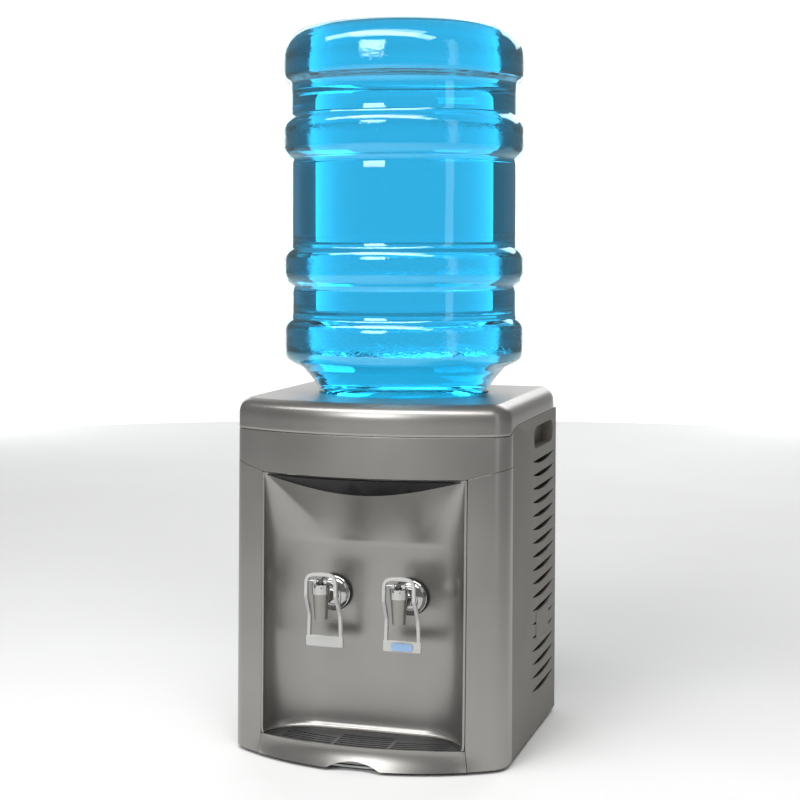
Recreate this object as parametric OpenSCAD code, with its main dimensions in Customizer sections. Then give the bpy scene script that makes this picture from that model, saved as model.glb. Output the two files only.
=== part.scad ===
// Countertop water dispenser: a moulded cabinet with an alcove and two lever taps,
// an inverted 20 litre bottle, a chilled tank and a small sealed refrigeration set.
// Datum for the named places below: y = 0 is the rear edge of the side panels,
// z = 0 is the underside of the base. cab() moves that datum to the part's origin.

/* [Cabinet] */
// Width over the side panels
cab_w = 304; // [280:1:370]
// Depth from the front of the base to the rear edge of the side panels
cab_d = 298; // [285:1:360]
// Height from the underside of the base to the top of the lid
cab_h = 380; // [365:1:460]
// Height of the rubber feet
feet_h = 3; // [2:0.5:6]
// Wall of the moulded shells
wall = 2.5; // [2:0.1:3.2]
// Height of the lid at the sides
lid_h = 25; // [20:1:32]
// Extra drop of the lid's front lip
lid_lip = 8; // [4:1:12]
// Corner radius of the front, seen from above
corner_r = 28; // [20:1:34]
// Length of each side panel, front to back
side_d = 219; // [200:1:222]
// Height of the upper fascia band at the middle
fascia_h = 44; // [36:1:56]

/* [Alcove] */
// Half width of the alcove opening
alcove_hw = 110.7; // [95:0.5:118]
// Distance from the rear edge to the alcove's back wall
alcove_y = 226; // [215:1:232]
// Half width of the flat part of the back wall
flat_hw = 57; // [50:1:62]
// Height of the flat back wall's top edge
flat_top = 236; // [225:1:245]
// Height of the drip tray's front apron
apron_h = 22; // [18:1:26]

/* [Taps] */
// Distance between the two tap centres
tap_gap = 86; // [76:1:96]
// Height of the tap centres above the base
tap_z = 171; // [160:1:180]
// Reach from the back wall to the spout's axis
tap_reach = 45; // [40:1:50]
// Radius of the spout at its top
spout_r = 8.5; // [8:0.1:9.5]
// Radius of the valve stem
stem_r = 3; // [2.8:0.1:3.2]
// Radius of the lever pin
pin_r = 1.2; // [1:0.05:1.3]
// Height of the lever from pad to arch
lever_h = 82; // [76:1:90]
// Lift of the valve stem at full press
stem_lift = 2.5; // [1.5:0.1:3]

/* [Bottle] */
// Largest radius of the bottle
bottle_r = 135; // [120:1:140]
// Depth of the grooves between the bottle's rings
groove = 7.4; // [4:0.2:9]
// Height of the bottle from mouth to base
bottle_h = 488; // [470:1:520]
// Radius of the bottle's neck
neck_r = 27.5; // [25:0.5:29]
// Distance from the rear edge to the bottle's axis
bottle_y = 111; // [108:1:118]
// Depth of the mouth below the top of the lid
mouth_drop = 80; // [76:1:84]

/* [Cooling] */
// Radius of the chilled tank
tank_r = 62; // [52:1:66]
// Radius of the tank's insulation
foam_r = 88; // [82:1:92]
// Radius of the compressor's shell
comp_r = 54; // [46:1:58]
// Distance the condenser stands off the rear edge
rear_d = 32; // [28:1:38]
// Number of level runs in the condenser
runs = 9; // [7:2:11]
// Number of turns in the evaporator coil
turns = 8; // [5:1:9]

/* [Hidden] */

$fn = 48;
gap = 0.3;            // space left between neighbouring pieces
run_fit = 0.05;       // radial clearance of a shaft in its hole
// Front curves at the foot and above the flare; each bows as deep at any cabinet width
low_R = 254 * pow(cab_w / 304, 2);
high_R = 316 * pow(cab_w / 304, 2);
scallop_r = 58;       // finger scallop under the apron
scallop_hw = 30;
// the scallop takes the foremost point away, so the depth ends at its corners
front_reach = cab_d - low_R + sqrt(low_R * low_R - scallop_hw * scallop_hw);
back_y = (front_reach - rear_d) / 2;
hw = cab_w / 2;
seam_y = -side_d;
lid_z = cab_h - lid_h;
lip_z = lid_z - lid_lip;
fascia_z = lip_z - fascia_h;
flare_z = 16;         // top of the flare round the foot of the front
flare_d = 9;          // how far the flare stands out
lean_d = 11;          // how far the front leans back over its height
fascia_t = 2;
tank_z = 165;
tank_top = cab_h - mouth_drop - 16.5;
foam_z = 150;
mouth_z = cab_h - mouth_drop;
well_r = neck_r + 5;
tap_x = tap_gap / 2;
tap_y = -alcove_y - tap_reach;
pin_z = tap_z + 20;
nut_z = tap_z + 7.2;
lever_top = tap_z + 29;
pad_z = lever_top - lever_h;
spring_z0 = tap_z - 7.5;
spring_z1 = nut_z - 0.5;
cond_y = rear_d - 8;
cond_z0 = 172;
cond_z1 = cab_h - 48;
drain_x = 62;
drier_x = 122;
drain_z = 22;
knob_x = 96;
knob_z = 116;
gland_x = -96;
gland_z = 60;
louvre_n = 18;
louvre_pitch = 15.13;
louvre_len = 110;
louvre_sag = 5.8;
louvre_top = cab_h - 74;
panel_t = 2.5;
screw_r = 4;

module cab() { translate([0, back_y, feet_h]) children(); }

// ---- points and skins ----

// Points on an arc about c, from angle a0 to a1 in n steps.
function arc(c, r, a0, a1, n) =
    [for (i = [0:n]) c + r * [cos(a0 + (a1 - a0) * i / n), sin(a0 + (a1 - a0) * i / n)]];

function mix(a, b, t) = a + (b - a) * t;
function clamp01(t) = max(0, min(1, t));

// The front's curve radius and foremost point at height z.
function front_R(z) = z >= flare_z ? high_R : mix(low_R, high_R, z / flare_z);
function front_y(z) = z >= flare_z
    ? -cab_d + flare_d + lean_d * (z - flare_z) / (cab_h - flare_z)
    : -cab_d + flare_d * z / flare_z;

// Front outline at height z, pulled in by t: right seam, corner, curve, corner, left seam.
function corner_c(z, t) =
    let (R = front_R(z) - corner_r, cx = hw - corner_r)
    [cx, front_y(z) + front_R(z) - sqrt(R * R - cx * cx)];
function corner_a(z) = let (c = corner_c(z, 0), f = [0, front_y(z) + front_R(z)])
    atan2(c[1] - f[1], c[0] - f[0]);
function right_half(z, t, n = 12) =
    let (c = corner_c(z, t), a = corner_a(z), f = [0, front_y(z) + front_R(z)])
    concat([[hw - t, seam_y]], arc(c, corner_r - t, 0, a, 7),
        [for (i = [1:n]) f + (front_R(z) - t) * [cos(mix(a, -90, i / n)), sin(mix(a, -90, i / n))]]);
function flip(pts) = [for (i = [len(pts) - 1:-1:0]) [-pts[i][0], pts[i][1]]];
function outline(z, t, n = 12) =
    let (h = right_half(z, t, n)) concat(h, [for (i = [1:len(h) - 1]) flip(h)[i]]);
// Closed outline with the two rear corners.
function ring(z, t, rear = 8) = let (p = outline(z, t)) concat(
    arc([hw - rear, -rear], rear - t, 0, 90, 4), arc([-hw + rear, -rear], rear - t, 90, 180, 4),
    [for (i = [len(p) - 1:-1:0]) p[i]]);

function lift(pts, z) = [for (p = pts) [p[0], p[1], z]];

// A closed solid through rows of points, each row a closed loop. The end rows are
// closed flat, or as a strip where each is the edge of a sheet.
module skin(rows, strip = false) {
    n = len(rows[0]);
    m = len(rows);
    function end_cap(o, turn) = strip
        ? [for (i = [0:n / 2 - 2], f = [[i, i + 1, n - 2 - i], [i, n - 2 - i, n - 1 - i]])
            turn ? [o + f[2], o + f[1], o + f[0]] : [o + f[0], o + f[1], o + f[2]]]
        : [[for (i = [0:n - 1]) o + (turn ? n - 1 - i : i)]];
    polyhedron(points = [for (r = rows, p = r) p],
        faces = concat(
            [for (j = [0:m - 2], i = [0:n - 1]) let (k = (i + 1) % n) each
                [[j * n + i, (j + 1) * n + i, j * n + k], [(j + 1) * n + i, (j + 1) * n + k, j * n + k]]],
            end_cap(0, false), end_cap((m - 1) * n, true)));
}

// A sheet with thickness: two grids of the same size, joined along their edges. Rows
// rise, and a lies on the right-hand side of the way that the points run.
module sheet(a, b) {
    skin([for (j = [0:len(a) - 1]) concat(b[j], [for (i = [len(a[j]) - 1:-1:0]) a[j][i]])], true);
}

// Rounds each inner corner of a route with a short curve.
function rounded(p, r, n = 4) = concat([p[0]],
    [for (i = [1:len(p) - 2]) let (u = (p[i - 1] - p[i]) / norm(p[i - 1] - p[i]),
        v = (p[i + 1] - p[i]) / norm(p[i + 1] - p[i]), a = p[i] + u * r, b = p[i] + v * r)
        each [for (k = [0:n]) let (t = k / n) (1 - t) * (1 - t) * a + 2 * t * (1 - t) * p[i] + t * t * b]],
    [p[len(p) - 1]]);

// A round tube swept along a route; up is any direction that the route never takes.
module tube(p, r, up = [0.31, 0.17, 0.93], sides = 8) {
    last = len(p) - 1;
    rows = [for (i = [0:last]) let (d = p[min(i + 1, last)] - p[max(i - 1, 0)], t = d / norm(d),
        s0 = cross(t, up), s = s0 / norm(s0), w = cross(t, s))
        [for (k = [0:sides - 1]) p[i] + r * (cos(360 * k / sides) * s + sin(360 * k / sides) * w)]];
    skin(rows);
}

function helix(r, z0, z1, n, steps, a0 = 90) =
    [for (i = [0:n * steps]) let (a = a0 + 360 * i / steps)
        [r * cos(a), r * sin(a), mix(z0, z1, i / (n * steps))]];

// ---- cabinet shells ----

// Height of the fascia's lower seam and of the lid's seam along the front outline.
function seam_z(p) = fascia_z + 10 * clamp01((abs(p[0]) - alcove_hw) / (hw - alcove_hw));
function lid_seam_z(p) = lip_z + lid_lip * clamp01((p[1] - seam_y + 12) / 20);

module top_cover() {
    // [height, inset] of the shoulder round the top
    rounding = [[lip_z + gap / 2, 0], [cab_h - 14, 0], [cab_h - 9, 1.2], [cab_h - 5, 3.6],
        [cab_h - 2, 7], [cab_h, 12]];
    rear = 16;
    function level(l, t) = lift(ring(lip_z, l[1] + t, rear), l[0]);
    color("darkgray") cab() difference() {
        skin([for (l = rounding) level(l, 0)]);
        difference() {
            skin([for (l = rounding) level([l[0] - (l[0] < cab_h - 20 ? 1 : wall), l[1]], wall)]);
            translate([0, -bottle_y, cab_h - 12]) cylinder(r = 98, h = 20, $fn = 96);
        }
        translate([0, -bottle_y, cab_h - 30]) cylinder(r = 94.5, h = 60, $fn = 96);
        // the sides are shorter than the front lip, with a sloping step between
        translate([-cab_w, 0, 0]) rotate([90, 0, 90]) linear_extrude(2 * cab_w)
            polygon([[seam_y - 12, lip_z - 5], [seam_y - 12, lip_z + gap / 2],
                [seam_y + 8, lid_z + gap / 2], [30, lid_z + gap / 2], [30, lip_z - 5]]);
    }
}

module upper_fascia() {
    function row(t, top) = [for (p = outline(top ? lip_z : fascia_z, t)) [p[0], p[1],
        top ? lid_seam_z(p) - gap : seam_z(p) + gap / 2]];
    color("silver") cab() sheet([row(0, false), row(0, true)],
        [row(fascia_t, false), row(fascia_t, true)]);
}

// Inner edge of a post: it stands clear of the alcove's lip, and of the apron that
// widens towards its foot.
function post_x(z) = alcove_hw + wall + gap - 0.2 + 3 * clamp01(1 - z / apron_h);

// One post of the front frame: the right stretch of the outline outside the alcove.
function post(z, t) = let (f = [0, front_y(z) + front_R(z)], a = corner_a(z),
    e = -acos(post_x(z) / (front_R(z) - t)))
    concat([[hw - t, seam_y]], arc(corner_c(z, t), corner_r - t, 0, a, 7),
        [for (i = [1:4]) f + (front_R(z) - t) * [cos(mix(a, e, i / 4)), sin(mix(a, e, i / 4))]]);

module front_frame() {
    levels = [0.5, 8, flare_z, apron_h, 200, 0];
    function row(i, t) = [for (p = post(i < 5 ? levels[i] : fascia_z, t))
        [p[0], p[1], i < 5 ? levels[i] : seam_z(p) - gap / 2]];
    function bar(z, t) = lift(outline(fascia_z + 16, t), z);
    color("gray") cab() {
        for (s = [0, 1]) mirror([s, 0, 0]) {
            sheet([for (i = [0:5]) row(i, 0)], [for (i = [0:5]) row(i, wall)]);
            sheet([for (z = [fascia_z - 16, fascia_z + 16]) lift(post(z, fascia_t + 0.2), z)],
                [for (z = [fascia_z - 16, fascia_z + 16]) lift(post(z, 5), z)]);
            // return flange behind the side panel's front edge
            translate([hw - panel_t - 3.2, seam_y - 2, flare_z]) cube([2.9, 14, lip_z - flare_z - 20]);
            translate([hw - panel_t - 3.2, seam_y - 2, flare_z]) cube([4, 1.7, fascia_z - flare_z - 4]);
        }
        sheet([bar(fascia_z + 6, fascia_t + 0.2), bar(fascia_z + 16, fascia_t + 0.2)],
            [bar(fascia_z + 6, 5), bar(fascia_z + 16, 5)]);
    }
}

// The alcove's section at height z, seen from above, pulled outwards by t.
function alcove_row(z, t, n = 8) =
    let (k = clamp01((z - flat_top) / (fascia_z - flat_top)), eh = alcove_hw - 0.2,
        yf = -sqrt(pow(front_R(z), 2) - eh * eh) + front_y(z) + front_R(z) + 0.4,
        top_f = [0, front_y(fascia_z) + front_R(fascia_z)],
        side = [for (i = [0:n]) [flat_hw + (eh - flat_hw) * cos(90 * i / n) + t * cos(90 * i / n),
            yf + (-alcove_y - yf) * sin(90 * i / n) + t * sin(90 * i / n)]],
        corner = [eh + t, yf],
        right = [for (p = side) mix(p, corner, k)],
        flat = [for (i = [1:n - 1]) let (x = flat_hw * (1 - 2 * i / n), xt = eh * (1 - 2 * i / n))
            mix([x, -alcove_y + t], top_f - [-xt, sqrt(pow(high_R - 0.4, 2) - xt * xt) - t * 2], k)])
    concat(right, flat, flip(right));

module alcove_panel() {
    levels = [2.5, apron_h, 90, 170, flat_top, flat_top + 22, flat_top + 44, fascia_z - gap];
    function rise(z, t) = z > flat_top + 1 && z < fascia_z - 1 ? t * 0.5 : 0;
    function row(z, t) = lift(alcove_row(max(z, apron_h), t), z + rise(z, t));
    color("darkgray") cab() difference() {
        sheet([for (z = levels) row(z, 0)], [for (z = levels) row(z, wall)]);
        // room for the drip tray
        translate([-cab_w, -cab_d - 20, 0]) cube([2 * cab_w, cab_d + 20 - alcove_y - 24, apron_h + gap]);
        for (s = [-1, 1]) translate([s * tap_x, -alcove_y + 10, tap_z]) rotate([90, 0, 0])
            cylinder(r = 6.3, h = 20);
    }
}

module black_trim() {
    function point(x, t, off) =
        let (front = front_y(fascia_z) + high_R - sqrt(high_R * high_R - x * x),
            y = mix(front, -alcove_y, t), z = mix(fascia_z - gap, flat_top, t))
        [x * (1 - t * 0.49), y - off * 0.78, z - off * 0.63];
    function row(t, off) = [for (i = [0:16]) let (x = (alcove_hw - 3) * (1 - i / 8))
        point(x, 0.02 + t * 0.26 * max(0.06, 1 - pow(x / (alcove_hw - 3), 2)), off)];
    color("black") cab() sheet([row(0, 0.5), row(0.5, 0.5), row(1, 0.5)],
        [row(0, 1.6), row(0.5, 1.6), row(1, 1.6)]);
}

// A level slot with round ends, cut along X.
function stadium(l, r, n = 8) = concat(arc([l / 2 - r, 0], r, -90, 90, n),
    arc([-l / 2 + r, 0], r, 90, 270, n));

module side_panel(s) {
    grip_y = -68;
    grip_z = lid_z - 24;
    louvre_R = (pow(louvre_len / 2, 2) + louvre_sag * louvre_sag) / (2 * louvre_sag);
    color("gray") cab() mirror([s < 0 ? 1 : 0, 0, 0]) {
        difference() {
            translate([hw - panel_t, seam_y + gap, 0.5])
                cube([panel_t, side_d - gap, lid_z - 0.5 - gap / 2]);
            translate([hw - 5, grip_y, grip_z]) rotate([90, 0, 90])
                linear_extrude(10) polygon(stadium(100, 12.5));
            // the lid's step
            translate([hw - 5, 0, -gap]) rotate([90, 0, 90]) linear_extrude(10)
                polygon([[seam_y - 5, lid_seam_z([0, seam_y - 5])], [seam_y + 8, lid_z],
                    [seam_y + 8, lid_z + 9], [seam_y - 5, lid_z + 9]]);
            for (i = [0:louvre_n - 1]) translate([hw - 5, grip_y, louvre_top - i * louvre_pitch])
                intersection() {
                    translate([0, 0, louvre_R - louvre_sag]) rotate([0, 90, 0])
                        cylinder(r = louvre_R, h = 10, $fn = 180);
                    translate([0, -louvre_len, -20]) cube([10, 2 * louvre_len, 20]);
                }
        }
        // the hand grip's cup
        translate([hw - 16, grip_y, grip_z]) rotate([90, 0, 90]) difference() {
            linear_extrude(15) polygon(stadium(104, 14.5));
            translate([0, 0, 2]) linear_extrude(20) polygon(stadium(100, 12.5));
        }
    }
}
module left_side_panel() { side_panel(-1); }
module right_side_panel() { side_panel(1); }

module blank_label() {
    color("gainsboro") cab() translate([hw + 0.02, -104, 104]) cube([0.4, 66, 30]);
}

module rear_panel() {
    color("dimgray") cab() difference() {
        translate([-hw + panel_t + gap, -3, 3]) cube([cab_w - 2 * (panel_t + gap), 1.2, lid_z - 6]);
        for (i = [0:5], s = [-1, 1]) translate([s * 60 - 32, -6, 24 + i * 9]) cube([64, 8, 4]);
        translate([-120, 2, cond_z1]) rotate([90, 0, 0]) cylinder(r = 5, h = 8);
        translate([120, 2, 84]) rotate([90, 0, 0]) cylinder(r = 3, h = 8);
        translate([knob_x, 2, knob_z]) rotate([90, 0, 0]) cylinder(r = 5, h = 8);
        translate([gland_x, 2, gland_z]) rotate([90, 0, 0]) cylinder(r = 8.2, h = 8);
        translate([drain_x, 2, drain_z]) rotate([90, 0, 0]) cylinder(r = 7.2, h = 8);
    }
}

module base_pan() {
    color("dimgray") cab() difference() {
        linear_extrude(14) polygon(ring(14, 3.2));
        translate([0, 0, 2]) linear_extrude(20) polygon(ring(14, 4.6));
        translate([-alcove_hw - 3, -cab_d, 2]) cube([2 * alcove_hw + 6, cab_d - alcove_y + 8, 20]);
        for (i = [-3:3]) translate([i * 26 - 4, -190, -1]) cube([8, 60, 4]);
    }
}

module rubber_feet() {
    color("black") cab() for (x = [-1, 1], y = [-30, -200]) translate([x * (hw - 26), y, -feet_h])
        cylinder(r = 10, h = feet_h);
}

module panel_screws() {
    color("silver") cab() for (x = [-1, 1], z = [30, 180, lid_z - 20])
        translate([x * (hw - 12), -1.8, z]) rotate([-90, 0, 0]) difference() {
            cylinder(r = screw_r, h = 2);
            for (a = [0, 90]) rotate([0, 0, a]) translate([-2.5, -0.5, 1]) cube([5, 1, 2]);
        }
}

// ---- drip tray ----

// The tray seen from above: the alcove's section with 1 mm to spare, closed by the front curve.
function tray_front(x, t) = front_y(apron_h) + high_R - sqrt(pow(high_R - 1.5 - t, 2) - x * x);
function tray_plan(t) = concat(
    [for (p = alcove_row(apron_h, -1 - t)) [p[0], max(p[1], tray_front(p[0], t))]],
    [for (i = [0:12]) let (x = (alcove_hw - 5 - t) * (i / 6 - 1)) [x, tray_front(x, t)]]);

module drip_tray() {
    function apron(z, t) = let (R = front_R(z) - t, e = post_x(z) - gap)
        [for (i = [0:16]) let (x = e * (1 - i / 8)) [x, front_y(z) + front_R(z) - sqrt(R * R - x * x), z]];
    color("lightgray") cab() difference() {
        union() {
            sheet([for (z = [0.5, 8, flare_z, apron_h - gap]) apron(z, 0)],
                [for (z = [0.5, 8, flare_z, apron_h - gap]) apron(z, wall)]);
            difference() {
                translate([0, 0, 2.6]) linear_extrude(apron_h - 3.2) polygon(tray_plan(0));
                translate([0, 0, 4.6]) linear_extrude(apron_h) polygon(tray_plan(2));
            }
        }
        // finger scallop under the apron's middle
        translate([0, -cab_d - 20, -sqrt(scallop_r * scallop_r - scallop_hw * scallop_hw)])
            rotate([-90, 0, 0]) cylinder(r = scallop_r, h = 34, $fn = 96);
    }
}

module drip_grille() {
    color("dimgray") cab() difference() {
        union() {
            translate([0, 0, 16]) linear_extrude(2.4) polygon(tray_plan(2.6));
            for (x = [-88, 88]) translate([x, -265, 4.9]) cylinder(r = 3, h = 12);
            for (x = [-48, 48]) translate([x, -236, 4.9]) cylinder(r = 3, h = 12);
        }
        for (i = [0:6]) intersection() {
            translate([0, front_y(apron_h) + high_R, 15]) difference() {
                cylinder(r = high_R - 8 - i * 6.6, h = 6, $fn = 180);
                translate([0, 0, -1]) cylinder(r = high_R - 11.8 - i * 6.6, h = 8, $fn = 180);
            }
            union() for (s = [-1, 0, 1]) translate([s * 62 - 29, -310, 14])
                cube([58, 310 - alcove_y - 4 - (s == 0 ? 0 : i > 4 ? 18 : 8), 8]);
        }
    }
}

// ---- bottle and its seat ----

// Bottle outline from the mouth up: [radius, height], pulled in by t.
function ring_pts(h0, h1, t) = let (g = bottle_r - groove - t, o = bottle_r - t)
    [[g, h0], [g + groove * 0.5, h0 + 3], [o, h0 + 10], [o, h1 - 10], [g + groove * 0.5, h1 - 3], [g, h1]];
function bottle_pts(t) = concat([[neck_r - t, 0], [neck_r - t, 40], [neck_r + 3 - t, 46]],
    [for (a = [10:20:70]) [neck_r + 3 - t + 58 * sin(a), 74 - 28 * cos(a)]],
    [[88 - t, mouth_drop], [92 - t, 87], [103 - t, 97], [113 - t, 106], [118 - t, 110]],
    ring_pts(113, 164, t), ring_pts(199, 242, t), ring_pts(338, 386, t),
    [[bottle_r - groove - t, bottle_h - 68], [bottle_r - groove / 2 - t, bottle_h - 65]],
    [[bottle_r - t, bottle_h - 58]],
    [for (a = [0:15:75]) [bottle_r - 26 - t + 26 * cos(a), bottle_h - 32 + (28 - t) * sin(a)]],
    [[70, bottle_h - 1 - t], [0, bottle_h - t]]);

module water_bottle() {
    color("deepskyblue", 0.6) cab() translate([0, -bottle_y, mouth_z + gap]) rotate_extrude($fn = 96)
        polygon(concat(bottle_pts(0), [for (i = [len(bottle_pts(1.5)) - 1:-1:0])
            bottle_pts(1.5)[i]]));
}

module bottle_cap() {
    color("white") cab() translate([0, -bottle_y, mouth_z + gap]) difference() {
        translate([0, 0, -2.2]) cylinder(r = neck_r + 2.2, h = 20);
        translate([0, 0, -0.05]) cylinder(r = neck_r + 0.2, h = 20);
        translate([0, 0, -3]) cylinder(r = 9, h = 6);
    }
}

module bottle_seat() {
    c = 0.6;
    function inner(t) = concat([[well_r + t, 44]],
        [for (a = [10:20:70]) [neck_r + 3 + c + t + 58.6 * sin(a), 73.4 - t - 28 * cos(a)]],
        []);
    color("whitesmoke") cab() translate([0, -bottle_y, mouth_z]) {
        rotate_extrude($fn = 96) polygon(concat([[well_r, -8]], inner(0), [[88.5, mouth_drop - 12.5],
            [102, mouth_drop - 12.5], [102, mouth_drop - 15], [90.5, mouth_drop - 15]],
            [for (i = [len(inner(wall)) - 1:-1:0]) inner(wall)[i]], [[well_r + wall, -8]]));
        difference() {
            translate([0, 0, -10.5]) cylinder(r = well_r + wall, h = 2.6);
            translate([0, 0, -12]) cylinder(r = 10, h = 6);
        }
    }
}

module feed_spike() {
    color("white") cab() translate([0, -bottle_y, mouth_z - 13.2]) difference() {
        union() {
            cylinder(r = 9.9, h = 4);
            cylinder(r = 8, h = 26);
            translate([0, 0, 26]) cylinder(r1 = 8, r2 = 4, h = 12);
        }
        translate([0, 0, -1]) cylinder(r = 2.5, h = 60);
        // cross holes that let the water out below the bottle's cap
        for (a = [0, 90]) rotate([0, 0, a]) translate([-12, 0, 22]) rotate([0, 90, 0])
            cylinder(r = 2, h = 24);
    }
}

module seat_seal() {
    color("dimgray") cab() translate([0, -bottle_y, cab_h - 12.4]) difference() {
        cylinder(r = 101.5, h = 4, $fn = 96);
        translate([0, 0, -1]) cylinder(r = 98.2, h = 8, $fn = 96);
    }
}

// ---- chilled tank ----

module cold_tank() {
    color("silver") cab() translate([0, -bottle_y, tank_z]) difference() {
        cylinder(r = tank_r, h = tank_top - tank_z, $fn = 96);
        translate([0, 0, 1]) cylinder(r = tank_r - 1, h = tank_top - tank_z, $fn = 96);
        // outlets to the taps: the cold one low, the room-temperature one above the baffle
        for (s = [-1, 1]) translate([s * tap_x, 0, s > 0 ? 6 : 104]) rotate([90, 0, 0])
            cylinder(r = 4, h = 90);
        translate([0, 30, -5]) cylinder(r = 4, h = 10);
    }
}

module tank_lid() {
    color("whitesmoke") cab() translate([0, -bottle_y, tank_top]) difference() {
        cylinder(r = tank_r + 4, h = 3, $fn = 96);
        translate([0, 0, -1]) cylinder(r = 8.5, h = 6);
    }
}

module baffle_disc() {
    color("whitesmoke") cab() translate([0, -bottle_y, tank_z + 84]) difference() {
        cylinder(r = tank_r - 2, h = 2, $fn = 96);
        for (a = [0:60:300]) rotate([0, 0, a + 30]) translate([tank_r - 16, 0, -1]) cylinder(r = 4, h = 4);
        translate([0, 0, -1]) cylinder(r = 3, h = 4);
    }
}

module tank_insulation() {
    color("white") cab() translate([0, -bottle_y, 0]) difference() {
        translate([0, 0, foam_z]) cylinder(r = foam_r, h = tank_top - foam_z - 0.2, $fn = 96);
        translate([0, 0, tank_z - 1]) cylinder(r = tank_r + 7, h = tank_top, $fn = 96);
        // front channels for the outlet pipes, rear channel for the refrigerant lines
        for (s = [-1, 1]) translate([s * tap_x - 8, -foam_r - 5, foam_z - 1]) cube([16, 60, tank_top]);
        translate([-18, 50, foam_z - 1]) cube([36, 50, tank_top]);
        translate([0, 30, foam_z - 1]) cylinder(r = 6, h = 20);
    }
}

module evaporator_coil() {
    color("peru") cab() translate([0, -bottle_y, 0])
        tube(helix(tank_r + 3.6, tank_z + 12, tank_z + 12 + 8 * turns, turns, 20), 2.6, [0, 0, 1], 8);
}

// An outlet pipe from the tank's wall to the tail of a tap.
module outlet_pipe(s, z) {
    wall_y = -bottle_y - sqrt(pow(tank_r, 2) - pow(tap_x, 2)) - 0.5;
    tail_y = -alcove_y + 24.4;
    cab() if (z == tap_z) tube([[s * tap_x, wall_y, z], [s * tap_x, tail_y, z]], 4, [0, 0, 1], 12);
    else tube(rounded([[s * tap_x, wall_y, z], [s * tap_x, wall_y - 18, z],
        [s * tap_x, wall_y - 18, tap_z], [s * tap_x, tail_y, tap_z]], 8), 4, [1, 0, 0], 12);
}
module cold_outlet_pipe() { color("lightblue") outlet_pipe(1, tap_z); }
module ambient_outlet_pipe() { color("ivory") outlet_pipe(-1, tank_z + 104); }

module drain_pipe() {
    route = rounded([[0, 30 - bottle_y, tank_z - 1], [0, 30 - bottle_y, 143], [drain_x, -40, 138],
        [drain_x, -36, drain_z], [drain_x, -8.2, drain_z]], 9);
    color("ivory") cab() {
        tube(route, 4, [0.9, -0.43, 0.1], 8);
        translate([drain_x, 6, drain_z]) rotate([90, 0, 0]) difference() {
            cylinder(r = 7, h = 14);
            translate([0, 0, -1]) cylinder(r = 4.5, h = 12);
        }
    }
}

module drain_plug() {
    color("black") cab() translate([drain_x, 6.2, drain_z]) rotate([-90, 0, 0]) {
        cylinder(r = 8, h = 4);
        translate([0, 0, -7]) cylinder(r = 4.44, h = 7.5);
    }
}

// ---- refrigeration set ----

comp_y = -comp_r - 16;

module compressor() {
    h = 116;
    color([0.12, 0.12, 0.13]) cab() translate([0, comp_y, 12]) {
        rotate_extrude($fn = 72) polygon(concat([[0, 0], [comp_r - 18, 0]],
            arc([comp_r - 20, 20], 20, -60, 0, 5),
            [[comp_r, h / 2 - 3], [comp_r + 3, h / 2 - 3], [comp_r + 3, h / 2 + 1], [comp_r, h / 2 + 1]],
            arc([comp_r - 30, h - 30], 30, 0, 80, 6), [[0, h]]));
        for (s = [-1, 1]) translate([s * 26 - 10, -comp_r - 4, -4]) cube([20, 2 * comp_r + 8, 4.4]);
        for (s = [-1, 1]) translate([s * 22, 26, h - 14]) cylinder(r = 4, h = 18);
    }
}

module compressor_feet(r0, r1, z0, h) {
    cab() for (x = [-26, 26], y = [-1, 1]) translate([x, comp_y + y * (comp_r - 1), z0]) difference() {
        cylinder(r = r1, h = h);
        if (r0 > 0) translate([0, 0, -1]) cylinder(r = r0, h = h + 2);
    }
}
module compressor_grommets() { color("black") compressor_feet(3.2, 8, 2.1, 5.7); }
module compressor_bolts() { color("silver") compressor_feet(0, 3, 2.1, 5.5); }

module relay_cover() {
    color("black") cab() translate([-22, comp_y - comp_r - 20, 44]) difference() {
        cube([44, 16, 42]);
        translate([2, 2, -1]) cube([40, 20, 41]);
    }
}

module condenser_tube() {
    half = 112;
    step = (cond_z1 - cond_z0) / (runs - 1);
    color([0.1, 0.1, 0.1]) cab() translate([0, cond_y, 0]) {
        for (i = [0:runs - 1]) translate([-half, 0, cond_z0 + i * step]) rotate([0, 90, 0])
            cylinder(r = 2.4, h = 2 * half);
        for (i = [0:runs - 2]) translate([i % 2 == 0 ? -half : half, 0, cond_z0 + (i + 0.5) * step])
            rotate([90, 0, 0]) rotate([0, 0, i % 2 == 0 ? 90 : -90]) rotate_extrude(angle = 180)
                translate([step / 2, 0]) circle(r = 2.4, $fn = 24);
        // the last run turns down into the drier
        translate([half, 0, cond_z0 - 10]) rotate([90, 0, 0]) rotate_extrude(angle = 90)
            translate([10, 0]) circle(r = 2.4, $fn = 24);
        translate([half + 10, 0, cond_z0 - 20]) cylinder(r = 2.4, h = 10);
    }
}

module condenser_wires() {
    color([0.12, 0.12, 0.12]) cab() for (i = [0:18], s = [-1, 1])
        translate([-104 + i * 208 / 18, cond_y + s * 3.3, cond_z0 - 12])
            cylinder(r = 0.8, h = cond_z1 - cond_z0 + 24, $fn = 16);
}

module condenser_brackets() {
    color("dimgray") cab() for (x = [-1, 1], z = [cond_z0 + 24, cond_z1 - 34]) translate([x * 108, 0, z]) {
        translate([-6, -1.7, -9]) cube([12, 1.5, 18]);
        translate([-6, -0.3, -1]) cube([2, cond_y - 6, 2]);
        translate([-6, cond_y - 7, -9]) cube([12, 2, 18]);
    }
}

module filter_drier() {
    color("peru") cab() translate([drier_x, cond_y, 103.8]) {
        cylinder(r = 8, h = 40);
        translate([0, 0, 40]) cylinder(r1 = 8, r2 = 3, h = 8);
        translate([0, 0, -8]) cylinder(r1 = 3, r2 = 8, h = 8);
    }
}

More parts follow.
